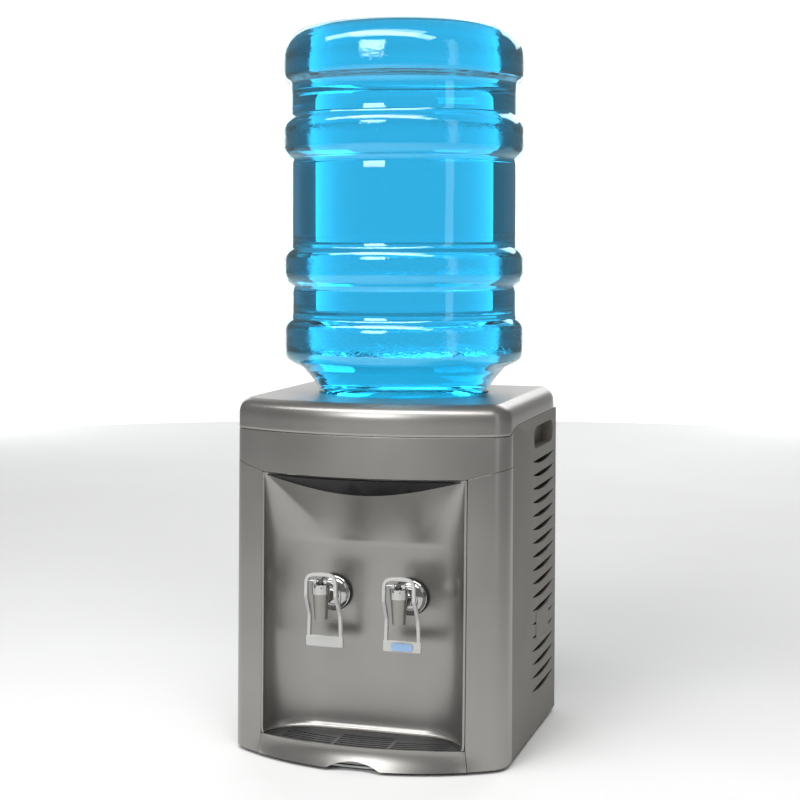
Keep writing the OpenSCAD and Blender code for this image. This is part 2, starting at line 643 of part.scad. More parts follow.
module suction_line() {
    coil_top = tank_z + 12 + 8 * turns;
    route = rounded([[0, -bottle_y + tank_r + 7, coil_top], [0, -28, coil_top],
        [0, -27, 144], [22, comp_y + 26, 143], [22, comp_y + 26, 132.2]], 5);
    color("peru") cab() tube(route, 3, [0.9, 0.1, 0.2], 8);
}

module discharge_line() {
    route = rounded([[-22, comp_y + 26, 132.2], [-22, comp_y + 26, 142], [-100, -26, 142], [-120, -20, 165],
        [-120, -14, cond_z1], [-120, cond_y, cond_z1], [-112.2, cond_y, cond_z1]], 3.6);
    color("peru") cab() tube(route, 2.4, [0.35, 0.2, 0.05], 8);
}

module capillary_tube() {
    route = rounded([[drier_x, cond_y, 95.6], [drier_x, cond_y, 84], [120, 12, 84], [120, -12, 84],
        [62, -14, 86], [10, -18, 148], [9, -26, 168], [6, -bottle_y + tank_r + 7.6, tank_z + 12]], 4);
    color("peru") cab() tube(route, 1.2, [0.3, 0.2, 0.9], 8);
}

module thermostat() {
    color("ivory") cab() {
        translate([knob_x - 18, -26, knob_z - 20]) cube([36, 22.8, 40]);
        translate([knob_x, 4, knob_z]) rotate([90, 0, 0]) cylinder(r = 3, h = 8);
    }
}

module thermostat_knob() {
    color("black") cab() translate([knob_x, 0, knob_z]) rotate([-90, 0, 0]) difference() {
        union() {
            translate([0, 0, 0.6]) cylinder(r = 17, h = 3);
            translate([0, 0, 3.6]) cylinder(r = 14, h = 9);
            translate([-1.5, -15.5, 3.6]) cube([3, 12, 9.6]);
        }
        translate([0, 0, -1]) cylinder(r = 3 + run_fit, h = 6);
    }
}

module cord_gland() {
    color("black") cab() translate([gland_x, -1.8, gland_z]) rotate([-90, 0, 0]) difference() {
        union() {
            cylinder(r = 12, h = 3);
            translate([0, 0, -5]) cylinder(r = 8, h = 5.5);
        }
        translate([0, 0, -6]) cylinder(r = 3.8, h = 12);
    }
}

// ---- taps: s is -1 for the left tap and 1 for the right ----

module at_tap(s) { cab() translate([s * tap_x, tap_y, 0]) children(); }

module tap_gaskets() {
    color("black") for (s = [-1, 1]) at_tap(s) translate([0, tap_reach - 0.55, tap_z]) rotate([90, 0, 0])
        difference() {
            cylinder(r = 20, h = 2.8);
            translate([0, 0, -1]) cylinder(r = 6.2, h = 6);
        }
}

module tap_body(s) {
    color("silver") at_tap(s) difference() {
        union() {
            translate([0, tap_reach - 3.4, tap_z]) rotate([90, 0, 0]) rotate_extrude($fn = 64)
                polygon(concat([[0, 0], [18.5, 0], [18.5, 1.6]],
                    arc([6, -6.5], 14.5, 36, 80, 6), [[0, 8]]));
            translate([0, tap_reach - 3.35, tap_z]) rotate([90, 0, 0]) cylinder(r = 7, h = tap_reach - 6);
            translate([0, tap_reach + 20, tap_z]) rotate([90, 0, 0]) cylinder(r = 6, h = 24);
        }
        translate([0, 0, tap_z - 30]) cylinder(r = spout_r + 0.3, h = 60);
        translate([0, tap_reach + 30, tap_z]) rotate([90, 0, 0]) cylinder(r = 3.5, h = 80);
    }
}
module left_tap_body() { tap_body(-1); }
module right_tap_body() { tap_body(1); }

module tap_lock_nuts() {
    color("silver") for (s = [-1, 1]) at_tap(s) translate([0, tap_reach + 8.8, tap_z]) rotate([90, 0, 0])
        difference() {
            cylinder(r = 11, h = 6, $fn = 6);
            translate([0, 0, -1]) cylinder(r = 6.1, h = 8, $fn = 48);
        }
}

module spout(s) {
    color("lightgray") at_tap(s) difference() {
        translate([0, 0, tap_z - 20]) cylinder(r1 = spout_r - 1.65, r2 = spout_r, h = 27);
        translate([0, 0, tap_z - 14]) cylinder(r = spout_r - 2.3, h = 30);
        translate([0, 0, tap_z - 30]) cylinder(r = 4, h = 20);
        translate([0, 20, tap_z]) rotate([90, 0, 0]) cylinder(r = 3.5, h = 20);
    }
}
module left_spout() { spout(-1); }
module right_spout() { spout(1); }

module crown_nuts() {
    color("silver") for (s = [-1, 1]) at_tap(s) difference() {
        union() {
            translate([0, 0, nut_z]) cylinder(r = 9.5, h = 10);
            for (x = [-7.2, 4.2]) translate([x, -2.6, nut_z + 9]) cube([3, 5.2, pin_z + 2 - nut_z - 9]);
        }
        translate([0, 0, nut_z - 1]) cylinder(r = stem_r + run_fit, h = 30);
        translate([-20, 0, pin_z]) rotate([0, 90, 0]) cylinder(r = pin_r + run_fit, h = 40);
        for (a = [22.5:45:360]) rotate([0, 0, a]) translate([7.6, -1.1, nut_z + 7]) cube([4, 2.2, 4]);
    }
}

module stem(s) {
    color([0.25, 0.25, 0.27]) at_tap(s) difference() {
        union() {
            translate([0, 0, tap_z - 9]) cylinder(r = stem_r, h = 31);
            translate([0, 0, spring_z0 - 1.4]) cylinder(r = spout_r - 3, h = 1.4);
        }
        // slot that lets the stem rise past the fixed lever pin
        translate([-10, -pin_r - 0.4, pin_z - stem_lift - pin_r - 0.5])
            cube([20, 2 * pin_r + 0.8, stem_lift + 2 * pin_r + 1]);
    }
}
module left_stem() { stem(-1); }
module right_stem() { stem(1); }

module valve_seal(s) {
    color("black") at_tap(s) translate([0, 0, tap_z - 13.6]) cylinder(r = spout_r - 3.2, h = 4.6);
}
module left_valve_seal() { valve_seal(-1); }
module right_valve_seal() { valve_seal(1); }

module spring(s) {
    color("silver") at_tap(s) tube(helix(4.2, spring_z0 + 0.6, spring_z1 - 0.6, 5, 14), 0.45, [0, 0, 1], 6);
}
module left_spring() { spring(-1); }
module right_spring() { spring(1); }

// Side outline of a lever arm in [y from the pin axis, z]: upright, set back, upright.
function arm_pts() =
    let (f = [[-2.4, lever_top - 18], [-2.4, tap_z + 4], [10.2, tap_z - 18], [9.8, pad_z + 1]])
    concat(f, [for (i = [3:-1:0]) f[i] + [5, 0]]);

module lever(s) {
    arch_z = lever_top - 18;
    color("whitesmoke") at_tap(s) difference() {
        union() {
            translate([0, 2.6, arch_z]) rotate([90, 0, 0]) rotate_extrude(angle = 180, $fn = 64)
                translate([14.4, 0]) square([3.6, 5]);
            for (x = [-1, 1]) translate([x * 16.2, 0, arch_z]) rotate([0, -x * 1.9, 0])
                translate([-1.8, 0, -arch_z]) rotate([90, 0, 90]) linear_extrude(3.6) polygon(arm_pts());
            translate([0, 14.8, pad_z]) rotate([90, 0, 0]) linear_extrude(5)
                translate([0, 6.2]) polygon(stadium(43, 6.2));
            translate([-5, 1.6, lever_top - 2.6]) cube([10, 6, 2.2]);
        }
        translate([-20, 0, pin_z]) rotate([0, 90, 0]) cylinder(r = pin_r, h = 40);
    }
}
module left_lever() { lever(-1); }
module right_lever() { lever(1); }

module lever_pin(s) {
    color("silver") at_tap(s) translate([-15, 0, pin_z]) rotate([0, 90, 0]) cylinder(r = pin_r, h = 30);
}
module lever_pins_left() { lever_pin(-1); }
module lever_pins_right() { lever_pin(1); }

module cold_marker() {
    color("lightsteelblue") at_tap(1) translate([0, 9.75, pad_z + 6.2]) rotate([90, 0, 0])
        linear_extrude(0.5) polygon(stadium(24, 4));
}

top_cover();
upper_fascia();
front_frame();
alcove_panel();
black_trim();
left_side_panel();
right_side_panel();
blank_label();
rear_panel();
base_pan();
rubber_feet();
panel_screws();
drip_tray();
drip_grille();
water_bottle();
bottle_cap();
bottle_seat();
feed_spike();
seat_seal();
cold_tank();
tank_lid();
baffle_disc();
tank_insulation();
evaporator_coil();
cold_outlet_pipe();
ambient_outlet_pipe();
drain_pipe();
drain_plug();
compressor();
compressor_grommets();
compressor_bolts();
relay_cover();
condenser_tube();
condenser_wires();
condenser_brackets();
filter_drier();
suction_line();
discharge_line();
capillary_tube();
thermostat();
thermostat_knob();
cord_gland();
tap_gaskets();
tap_lock_nuts();
crown_nuts();
left_tap_body();
right_tap_body();
left_spout();
right_spout();
left_stem();
right_stem();
left_valve_seal();
right_valve_seal();
left_spring();
right_spring();
left_lever();
right_lever();
lever_pins_left();
lever_pins_right();
cold_marker();
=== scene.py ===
import math

import bmesh
import bpy
import numpy as np
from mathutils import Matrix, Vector


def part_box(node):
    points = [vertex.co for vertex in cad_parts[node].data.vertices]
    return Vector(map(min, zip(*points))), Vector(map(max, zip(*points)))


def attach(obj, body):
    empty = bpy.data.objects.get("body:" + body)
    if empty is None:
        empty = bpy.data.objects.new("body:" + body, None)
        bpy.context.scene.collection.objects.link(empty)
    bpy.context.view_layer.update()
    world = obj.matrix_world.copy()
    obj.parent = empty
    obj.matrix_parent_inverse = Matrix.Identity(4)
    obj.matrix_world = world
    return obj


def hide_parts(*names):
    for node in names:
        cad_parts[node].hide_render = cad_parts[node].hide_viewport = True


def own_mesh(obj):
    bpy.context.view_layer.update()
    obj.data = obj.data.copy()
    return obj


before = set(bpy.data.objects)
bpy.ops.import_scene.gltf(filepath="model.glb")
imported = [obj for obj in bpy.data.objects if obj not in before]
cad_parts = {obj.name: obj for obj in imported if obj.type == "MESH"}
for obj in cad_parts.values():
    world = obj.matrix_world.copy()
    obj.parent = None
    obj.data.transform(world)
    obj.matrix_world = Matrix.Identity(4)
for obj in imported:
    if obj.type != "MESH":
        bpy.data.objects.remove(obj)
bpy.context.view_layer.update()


# ---- Studio: floor, lights and camera ----
# The cooler stands on a pale seamless floor under large soft lights. The camera is at
# standing table height, turned 17 degrees to the right side of the cabinet.

def linear(code):
    """Turns an sRGB hex colour into the linear values that Blender mixes."""
    channels = [int(code[i:i + 2], 16) / 255 for i in (1, 3, 5)]
    return [c / 12.92 if c <= 0.04045 else ((c + 0.055) / 1.055) ** 2.4 for c in channels] + [1.0]


def add_node(tree, kind, settings=None, **inputs):
    """Adds a shader node with its settings. Inputs are named by their sockets, or as i and
    a number, and are values, or the sockets of other nodes to link from."""
    node = tree.nodes.new(kind)
    for key, value in (settings or {}).items():
        setattr(node, key, value)
    for key, value in inputs.items():
        numbered = key[0] == "i" and key[1:].isdigit()
        socket = node.inputs[int(key[1:]) if numbered else key.replace("_", " ")]
        if isinstance(value, bpy.types.NodeSocket):
            tree.links.new(value, socket)
        else:
            socket.default_value = value
    return node


def new_material(name):
    """An empty node material with an output, and the tree to fill it with."""
    material = bpy.data.materials.new(name)
    material.use_nodes = True
    material.node_tree.nodes.clear()
    return material, material.node_tree


def finish_material(tree, shader):
    """Links a shader's first output to the surface."""
    out = tree.nodes.new("ShaderNodeOutputMaterial")
    tree.links.new(shader.outputs[0], out.inputs["Surface"])


def studio_floor():
    """A floor disc in polar form: rings whose radius grows as the square of their number,
    round one middle face."""
    rings, spokes, reach = 12, 64, 9.0
    r = reach * (np.arange(1, rings + 1) / rings) ** 2
    a = np.linspace(0, 2 * math.pi, spokes, endpoint=False)
    x, y = np.outer(r, np.cos(a)).ravel(), np.outer(r, np.sin(a)).ravel()
    points = np.column_stack([x, y, np.full_like(x, -0.0002)])
    i, j = np.meshgrid(np.arange(rings - 1), np.arange(spokes), indexing="ij")
    k = (j + 1) % spokes
    quads = np.stack([i * spokes + j, (i + 1) * spokes + j, (i + 1) * spokes + k, i * spokes + k], -1)
    faces = quads.reshape(-1, 4).tolist() + [list(range(spokes))]
    mesh = bpy.data.meshes.new("studio_floor")
    mesh.from_pydata(points.tolist(), [], faces)
    floor = bpy.data.objects.new("studio_floor", mesh)
    bpy.context.collection.objects.link(floor)
    # Matt background paper: near white, with a mottle too faint to draw the eye.
    material, tree = new_material("pale_paper")
    where = add_node(tree, "ShaderNodeTexCoord")
    mottle = add_node(tree, "ShaderNodeTexNoise", Vector=where.outputs["Object"], Scale=3.0)
    tone = add_node(tree, "ShaderNodeMix", {"data_type": "RGBA"}, i0=mottle.outputs["Fac"],
        i6=linear("#f4f4f3"), i7=linear("#fafafa"))
    finish_material(tree, add_node(tree, "ShaderNodeBsdfPrincipled", Base_Color=tone.outputs[2],
        Roughness=0.7))
    mesh.materials.append(material)


def studio_backdrop():
    """An upright paper sweep behind the cooler, in polar form: part of a cylinder round it,
    26 degrees to each side of the camera's line, whose foot runs below the floor. Its glow
    grows as the fourth power of the way out to each edge."""
    reach, columns = 3.2, 49
    a = np.radians(np.linspace(81, 133, columns))
    z = np.array([-0.3, 0.6, 1.6, 3.2])[:, None]
    points = np.dstack([reach * np.cos(a) + 0 * z, reach * np.sin(a) + 0 * z, z + 0 * a])
    i, j = np.meshgrid(np.arange(len(z) - 1), np.arange(columns - 1), indexing="ij")
    first = i * columns + j
    quads = np.stack([first, first + columns, first + columns + 1, first + 1], -1)
    mesh = bpy.data.meshes.new("studio_backdrop")
    mesh.from_pydata(points.reshape(-1, 3).tolist(), [], quads.reshape(-1, 4).tolist())
    backdrop = bpy.data.objects.new("studio_backdrop", mesh)
    bpy.context.collection.objects.link(backdrop)
    glow = mesh.attributes.new("glow", "FLOAT", "POINT")
    glow.data.foreach_set("value", np.tile(np.linspace(-1, 1, columns) ** 4, len(z)))
    # Paper lit from behind: an even white that is brightest at the edges.
    material, tree = new_material("backlit_paper")
    where = add_node(tree, "ShaderNodeTexCoord")
    mottle = add_node(tree, "ShaderNodeTexNoise", Vector=where.outputs["Object"], Scale=0.6)
    tone = add_node(tree, "ShaderNodeMix", {"data_type": "RGBA"}, i0=mottle.outputs["Fac"],
        i6=linear("#f6f8f9"), i7=linear("#fdfefe"))
    edge = add_node(tree, "ShaderNodeAttribute", {"attribute_name": "glow"})
    power = add_node(tree, "ShaderNodeMapRange", Value=edge.outputs["Fac"], To_Min=1.2, To_Max=2.8)
    finish_material(tree, add_node(tree, "ShaderNodeEmission", Color=tone.outputs[2],
        Strength=power.outputs[0]))
    mesh.materials.append(material)


def soft_light(name, place, aim, width, height, power, tint="#ffffff"):
    """A rectangular soft light at place, turned to shine at aim."""
    data = bpy.data.lights.new(name, "AREA")
    data.shape, data.size, data.size_y, data.energy = "RECTANGLE", width, height, power
    data.color = linear(tint)[:3]
    light = bpy.data.objects.new(name, data)
    bpy.context.collection.objects.link(light)
    light.location = place
    light.rotation_euler = (Vector(aim) - Vector(place)).to_track_quat("-Z", "Y").to_euler()


studio_floor()
studio_backdrop()
soft_light("front_softbox", (-0.5, -2.2, 1.4), (-0.1, -0.4, 0.1), 0.9, 0.9, 20)
soft_light("top_softbox", (-0.1, -1.0, 1.9), (-0.1, -0.7, 0.0), 1.6, 0.7, 14)
soft_light("top_strip", (-0.2, -0.95, 1.8), (-0.05, -0.15, 0.35), 3.0, 0.35, 18)
soft_light("right_strip", (1.7, -0.9, 0.9), (0, 0, 0.4), 0.3, 1.6, 1.5)
soft_light("rear_fill", (0.5, 2.4, 1.8), (0, 0, 0.3), 1.6, 1.0, 12)

world = bpy.data.worlds.new("studio")
world.use_nodes = True
world.node_tree.nodes["Background"].inputs["Color"].default_value = linear("#ffffff")
world.node_tree.nodes["Background"].inputs["Strength"].default_value = 0.24
bpy.context.scene.world = world
bpy.context.scene.view_settings.view_transform = "Standard"

# The camera's place is measured from the rear edge of the side panels and the base.
rear_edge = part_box("right_side_panel")[1].y
base_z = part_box("rubber_feet")[1].z
camera_data = bpy.data.cameras.new("camera")
camera_data.sensor_width = 36.0
camera_data.lens = 74.655
camera_data.shift_y = -0.075
camera_data.clip_end = 50
camera = bpy.data.objects.new("camera", camera_data)
camera.location = (0.5426, rear_edge - 1.9001, base_z + 0.5515)
camera.rotation_euler = (math.radians(90 - 3.503), 0, math.radians(17.012))
bpy.context.collection.objects.link(camera)
bpy.context.scene.camera = camera


# ---- Cabinet shells: silver-painted ABS mouldings ----
# The lid, the fascia and the two posts share one curved front line. They are injection
# moulded in ABS, 2.5 mm thick, and sprayed with a fine silver lacquer.

MM = 0.001
half_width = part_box("front_frame")[1].x
fascia_low, fascia_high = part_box("upper_fascia")
lid_low, lid_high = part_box("top_cover")
lid_top = lid_high.z
seam_y = fascia_high.y
seam_gap = 0.15 * MM
corner_radius = 28 * MM
curve_low, curve_high = 254 * MM, 316 * MM
lean = 11 * MM
base_depth = 298 * MM
flare_depth = 9 * MM
flare_top = base_z + 16 * MM
lip_z = lid_low.z - seam_gap
lid_seam = lip_z + 8 * MM
fascia_z = fascia_low.z - seam_gap
alcove_half = 110.7 * MM
arc_end, corner_end = 0.7, 0.94


def front_curve(z):
    """The front's curve radius at height z: it grows over the flare, then stays."""
    t = np.clip((z - base_z) / (flare_top - base_z), 0, 1)
    return curve_low + (curve_high - curve_low) * t


def front_apex(z):
    """The foremost point at height z: the flare runs in steeply, then the front leans back."""
    t = np.clip((z - base_z) / (flare_top - base_z), 0, 1)
    up = np.clip((z - flare_top) / (lid_top - flare_top), 0, 1)
    smooth = t * (2 - t) * 0.25 + t * 0.75
    return rear_edge - base_depth + flare_depth * smooth + lean * up


def front_point(u, z, inset):
    """A point of the front line, as x and y. |u| from 0 to arc_end runs along the big arc
    from the middle to the corner, to corner_end round the corner arc, and to 1 straight
    back to the side seam."""
    s, side = np.abs(u), np.sign(u)
    arc, apex = front_curve(z), front_apex(z)
    corner_x = half_width - corner_radius
    reach = np.sqrt((arc - corner_radius) ** 2 - corner_x ** 2)
    corner_y = apex + arc - reach
    turn = np.arctan2(-reach, corner_x)
    a = -math.pi / 2 + (turn + math.pi / 2) * np.clip(s / arc_end, 0, 1)
    b = turn * (1 - np.clip((s - arc_end) / (corner_end - arc_end), 0, 1))
    c = np.clip((s - corner_end) / (1 - corner_end), 0, 1)
    x = np.where(s < arc_end, (arc - inset) * np.cos(a),
        corner_x + (corner_radius - inset) * np.cos(b))
    y = np.where(s < arc_end, apex + arc + (arc - inset) * np.sin(a),
        corner_y + (corner_radius - inset) * np.sin(b))
    x = np.where(s > corner_end, half_width - inset, x)
    y = np.where(s > corner_end, corner_y + (seam_y - corner_y) * c, y)
    return x * np.where(side == 0, 1, side), y


def surface(name, points, wrap_u=False, wrap_v=False, cap=False):
    """A mesh from a grid of points, rows by columns: each face joins two neighbours of a row
    to the same two of the next. Rows may close (wrap_u) and so may columns (wrap_v); cap
    closes the first and last row with a fan round its middle."""
    rows, cols = points.shape[:2]
    i, j = np.meshgrid(np.arange(rows if wrap_v else rows - 1),
        np.arange(cols if wrap_u else cols - 1), indexing="ij")
    n, m = (i + 1) % rows, (j + 1) % cols
    quads = np.stack([i * cols + j, i * cols + m, n * cols + m, n * cols + j], -1)
    faces = quads.reshape(-1, 4).tolist()
    flat = points.reshape(-1, 3)
    if cap:
        flat = np.vstack([flat, points[0].mean(0), points[-1].mean(0)])
        k, last = np.arange(cols), (rows - 1) * cols
        after = (k + 1) % cols
        faces += np.column_stack([after, k, np.full(cols, rows * cols)]).tolist()
        faces += np.column_stack([last + k, last + after, np.full(cols, rows * cols + 1)]).tolist()
    mesh = bpy.data.meshes.new(name)
    mesh.from_pydata(flat.tolist(), [], faces)
    work = bmesh.new()
    work.from_mesh(mesh)
    bmesh.ops.remove_doubles(work, verts=work.verts, dist=1e-7)
    bmesh.ops.recalc_face_normals(work, faces=work.faces)
    work.to_mesh(mesh)
    work.free()
    mesh.shade_smooth()
    piece = bpy.data.objects.new(name, mesh)
    bpy.context.collection.objects.link(piece)
    return piece


def shell(name, face, back):
    """A closed shell from two grids of the same shape, the seen face and the back, joined
    round their edges: each column is one loop, up the face and down the back."""
    return surface(name, np.concatenate([face, back[::-1]], 0), wrap_v=True)


def soften(piece, width, segments=2, angle=35):
    """Rounds the sharp edges with a Bevel, and hardens the normals beside them."""
    bevel = piece.modifiers.new("edge_radius", "BEVEL")
    bevel.width, bevel.segments = width, segments
    bevel.limit_method, bevel.angle_limit = "ANGLE", math.radians(angle)
    bevel.harden_normals = True
    return piece


def rim_caps(piece):
    """Closes the open ends of a shell's columns with faces."""
    work = bmesh.new()
    work.from_mesh(piece.data)
    edges = [e for e in work.edges if e.is_boundary]
    bmesh.ops.holes_fill(work, edges=edges, sides=0)
    bmesh.ops.recalc_face_normals(work, faces=work.faces)
    work.to_mesh(piece.data)
    work.free()
    return piece


def place(piece, body, material, *nodes, slot=None):
    """Gives a piece its material, rides it on its body and hides the solids it stands for."""
    piece.data.materials.clear()
    piece.data.materials.append(material)
    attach(piece, body)
    if nodes:
        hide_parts(*nodes)
    return piece


def lacquer(name, dark, light, metallic, roughness, flake_mm):
    """Silver lacquer on a plastic: a metallic base with flake, and the slight cloudiness
    that spraying leaves."""
    material, tree = new_material(name)
    where = add_node(tree, "ShaderNodeTexCoord").outputs["Object"]
    cloud = add_node(tree, "ShaderNodeTexNoise", Vector=where, Scale=9.0, Detail=2.0)
    flake = add_node(tree, "ShaderNodeTexNoise", Vector=where, Scale=1000 / flake_mm, Detail=1.0)
    both = add_node(tree, "ShaderNodeMath", {"operation": "MULTIPLY_ADD"}, i0=flake.outputs["Fac"],
        i1=0.35, i2=cloud.outputs["Fac"])
    ramp = add_node(tree, "ShaderNodeMapRange", Value=both.outputs[0], From_Min=0.45, From_Max=0.9)
    tone = add_node(tree, "ShaderNodeMix", {"data_type": "RGBA"}, i0=ramp.outputs[0],
        i6=linear(dark), i7=linear(light))
    rough = add_node(tree, "ShaderNodeMapRange", Value=cloud.outputs["Fac"], From_Min=0.3,
        From_Max=0.7, To_Min=roughness - 0.03, To_Max=roughness + 0.04)
    bump = add_node(tree, "ShaderNodeBump", Height=flake.outputs["Fac"], Strength=0.05,
        Distance=0.0002)
    finish_material(tree, add_node(tree, "ShaderNodeBsdfPrincipled", Base_Color=tone.outputs[2],
        Metallic=metallic, Roughness=rough.outputs[0], Normal=bump.outputs[0],
        Specular_IOR_Level=0.35))
    return material


# Silver lacquer sprayed on ABS: a soft grey metal sheen with broad highlights. Its flake is
# far finer than 0.7 mm and is drawn that coarse so that it shows.
silver = lacquer("silver_lacquered_ABS", "#94928f", "#9f9d9a", 0.88, 0.31, 0.7)


# ---- Lid ----
# The top cover drops over the cabinet. Its top is flat, with a crease round it, a soft
# sloping shoulder and a deeper lip in front, and a round hole for the bottle.

bottle_axis_y = rear_edge - 111 * MM
lid_wall = 2.5 * MM
hole_radius = 94.5 * MM


def lid_outline(inset):
    """The lid's outline as one closed line of x and y: the front line, the right side, its
    rear corner of 16 mm radius, the back, and the mirrored corner and side."""
    u = np.linspace(-1, 1, 145)
    front = np.column_stack(front_point(u, np.full_like(u, lip_z), inset))
    r = 16 * MM
    side = np.linspace(seam_y, rear_edge - r, 14)[1:]
    a = np.linspace(0, math.pi / 2, 9)[1:]
    straight = np.column_stack([np.full_like(side, half_width - inset), side])
    bend = np.column_stack([half_width - r + (r - inset) * np.cos(a),
        rear_edge - r + (r - inset) * np.sin(a)])
    across = np.linspace(half_width - r, r - half_width, 25)[1:-1]
    back = np.column_stack([across, np.full_like(across, rear_edge - inset)])
    right = np.vstack([straight, bend])
    return np.vstack([front, right, back, right[::-1] * [-1, 1]])


def seam_height(y):
    """Height of the lid's lower edge: low along the front, with an S-shaped step up to the
    sides just behind the corner."""
    t = np.clip((y - seam_y + 12 * MM) / (20 * MM), 0, 1)
    return lip_z + (lid_seam - lip_z) * t * t * (3 - 2 * t)


def make_lid():
    """Rows run from the inner lower edge down round the rim, up the outside, over the
    shoulder, across the top, down into the bottle hole and back under the top. Each row is
    a closed line, and across the top the lines blend from the outline to the hole."""
    rows = []

    def add_row(line, height):
        rows.append(np.column_stack([line, np.broadcast_to(height, len(line))]))

    low = seam_height(lid_outline(0)[:, 1]) + seam_gap
    for rise, inset in ((2.0, lid_wall), (0.4, lid_wall), (0, lid_wall - 0.5 * MM), (0, 0.5 * MM),
            (0.5, 0)):
        add_row(lid_outline(inset), low + rise * MM)
    for drop, inset in ((30, 0), (22, 0), (17, 0.05), (14, 0.3), (11.5, 0.8), (9, 1.7), (7, 2.8),
            (5.2, 4.3), (3.6, 6.2), (2.3, 8.3), (1.3, 10.2), (0.75, 11.3), (0.35, 12.0),
            (0.1, 12.8), (0, 14)):
        # A row that would pass below the raised edge at the sides stays 1.2 mm above it.
        add_row(lid_outline(inset * MM), np.maximum(lid_top - drop * MM, low + 1.2 * MM))
    start = lid_outline(14 * MM)
    angle = np.arctan2(start[:, 1] - bottle_axis_y, start[:, 0])
    ring, centre = np.column_stack([np.cos(angle), np.sin(angle)]), [0, bottle_axis_y]
    rim = ring * (hole_radius + 3 * MM) + centre
    for t in (0.25, 0.5, 0.75, 0.92, 1.0):
        add_row(start + (rim - start) * t, lid_top)
    for extra, drop in ((1.9, 0.15), (0.8, 0.8), (0.2, 1.9), (0, 3.2), (0, 12), (3.4, 12), (3.5, 4.0)):
        add_row(ring * (hole_radius + extra * MM) + centre, lid_top - drop * MM)
    for inset, drop in ((14 * MM, lid_wall), (6 * MM, 7 * MM), (lid_wall, 17 * MM)):
        add_row(lid_outline(inset), lid_top - drop)
    return surface("lid", np.array(rows), wrap_u=True, wrap_v=True)


place(make_lid(), "cabinet", silver, "top_cover", slot="lid_plastic")


# ---- Upper fascia and front posts ----
# A curved band under the lid, and one moulding that makes both posts beside the alcove.
# The band's lower seam runs level over the alcove and rises a little to each side.

def band_seam(x):
    """Height of the seam under the fascia: level over the alcove, rising 10 mm to the sides."""
    return fascia_z + 10 * MM * np.clip((np.abs(x) - alcove_half) / (half_width - alcove_half), 0, 1)


def make_fascia():
    """Two grids 2 mm apart: u along the front line, and t up the band from seam to seam."""
    u = np.linspace(-1, 1, 161)[None, :]
    t = np.linspace(0, 1, 9)[:, None]
    x, y = front_point(u, np.full_like(u, fascia_z), 0.0)
    low, high = band_seam(x) + seam_gap, seam_height(y) - 2 * seam_gap
    z = low + (high - low) * t
    grids = []
    for depth in (0.0, 2.0 * MM):
        x, y = front_point(np.broadcast_to(u, z.shape), z, depth)
        grids.append(np.dstack([x, y, z]))
    return soften(rim_caps(shell("fascia", *grids)), 0.5 * MM)


place(make_fascia(), "cabinet", silver, "upper_fascia", slot="silver_plastic")


def make_posts():
    """Two posts, each two grids 2.5 mm apart: s along the front line from the alcove's edge
    to the side seam, and t from the foot to the fascia's seam. The inner edge splays 3 mm
    over the lowest 22 mm. The seam's height depends on x, so the grid is found twice."""
    t = np.array([0, .012, .025, .04, .05, .065, .09, .2, .35, .5, .65, .8, .92, 1.0])[:, None]
    s = np.linspace(0, 1, 70)[None, :]
    foot = base_z + 0.5 * MM
    corner_x = half_width - corner_radius
    pieces = []
    for side, name in ((-1, "post_left"), (1, "post_right")):
        grids = []
        for depth in (0.0, 2.5 * MM):
            z = base_z + t * (fascia_z - base_z)
            for _ in range(2):
                arc = front_curve(z)
                reach = np.sqrt((arc - corner_radius) ** 2 - corner_x ** 2)
                bend = np.arctan2(-reach, corner_x) + math.pi / 2
                splay = 3 * MM * np.clip(1 - (z - base_z) / (22 * MM), 0, 1)
                edge = alcove_half + 2.6 * MM + splay
                start = np.arcsin(edge / (arc - depth)) / bend * arc_end
                u = (start + (1 - start) * s) * side
                x, y = front_point(u, z + 0 * u, depth)
                z = foot + (band_seam(x) - seam_gap - foot) * t
            grids.append(np.dstack([x, y, z]))
        pieces.append(soften(rim_caps(shell(name, *grids)), 0.5 * MM))
    return pieces


left_post, right_post = make_posts()
place(left_post, "cabinet", silver, slot="silver_plastic")
place(right_post, "cabinet", silver, "front_frame", slot="silver_plastic")


# ---- Alcove panel ----
# One moulding that lines the alcove. Its sides sweep back as quarter ellipses to a flat
# wall, the wall's foot rolls forward over the grille, and the top slopes out to the fascia.

wall_y = rear_edge - 226 * MM
slope_z = base_z + 236 * MM
alcove_top = fascia_z - 0.4 * MM
lip_half, wall_half = 110.5 * MM, 57 * MM


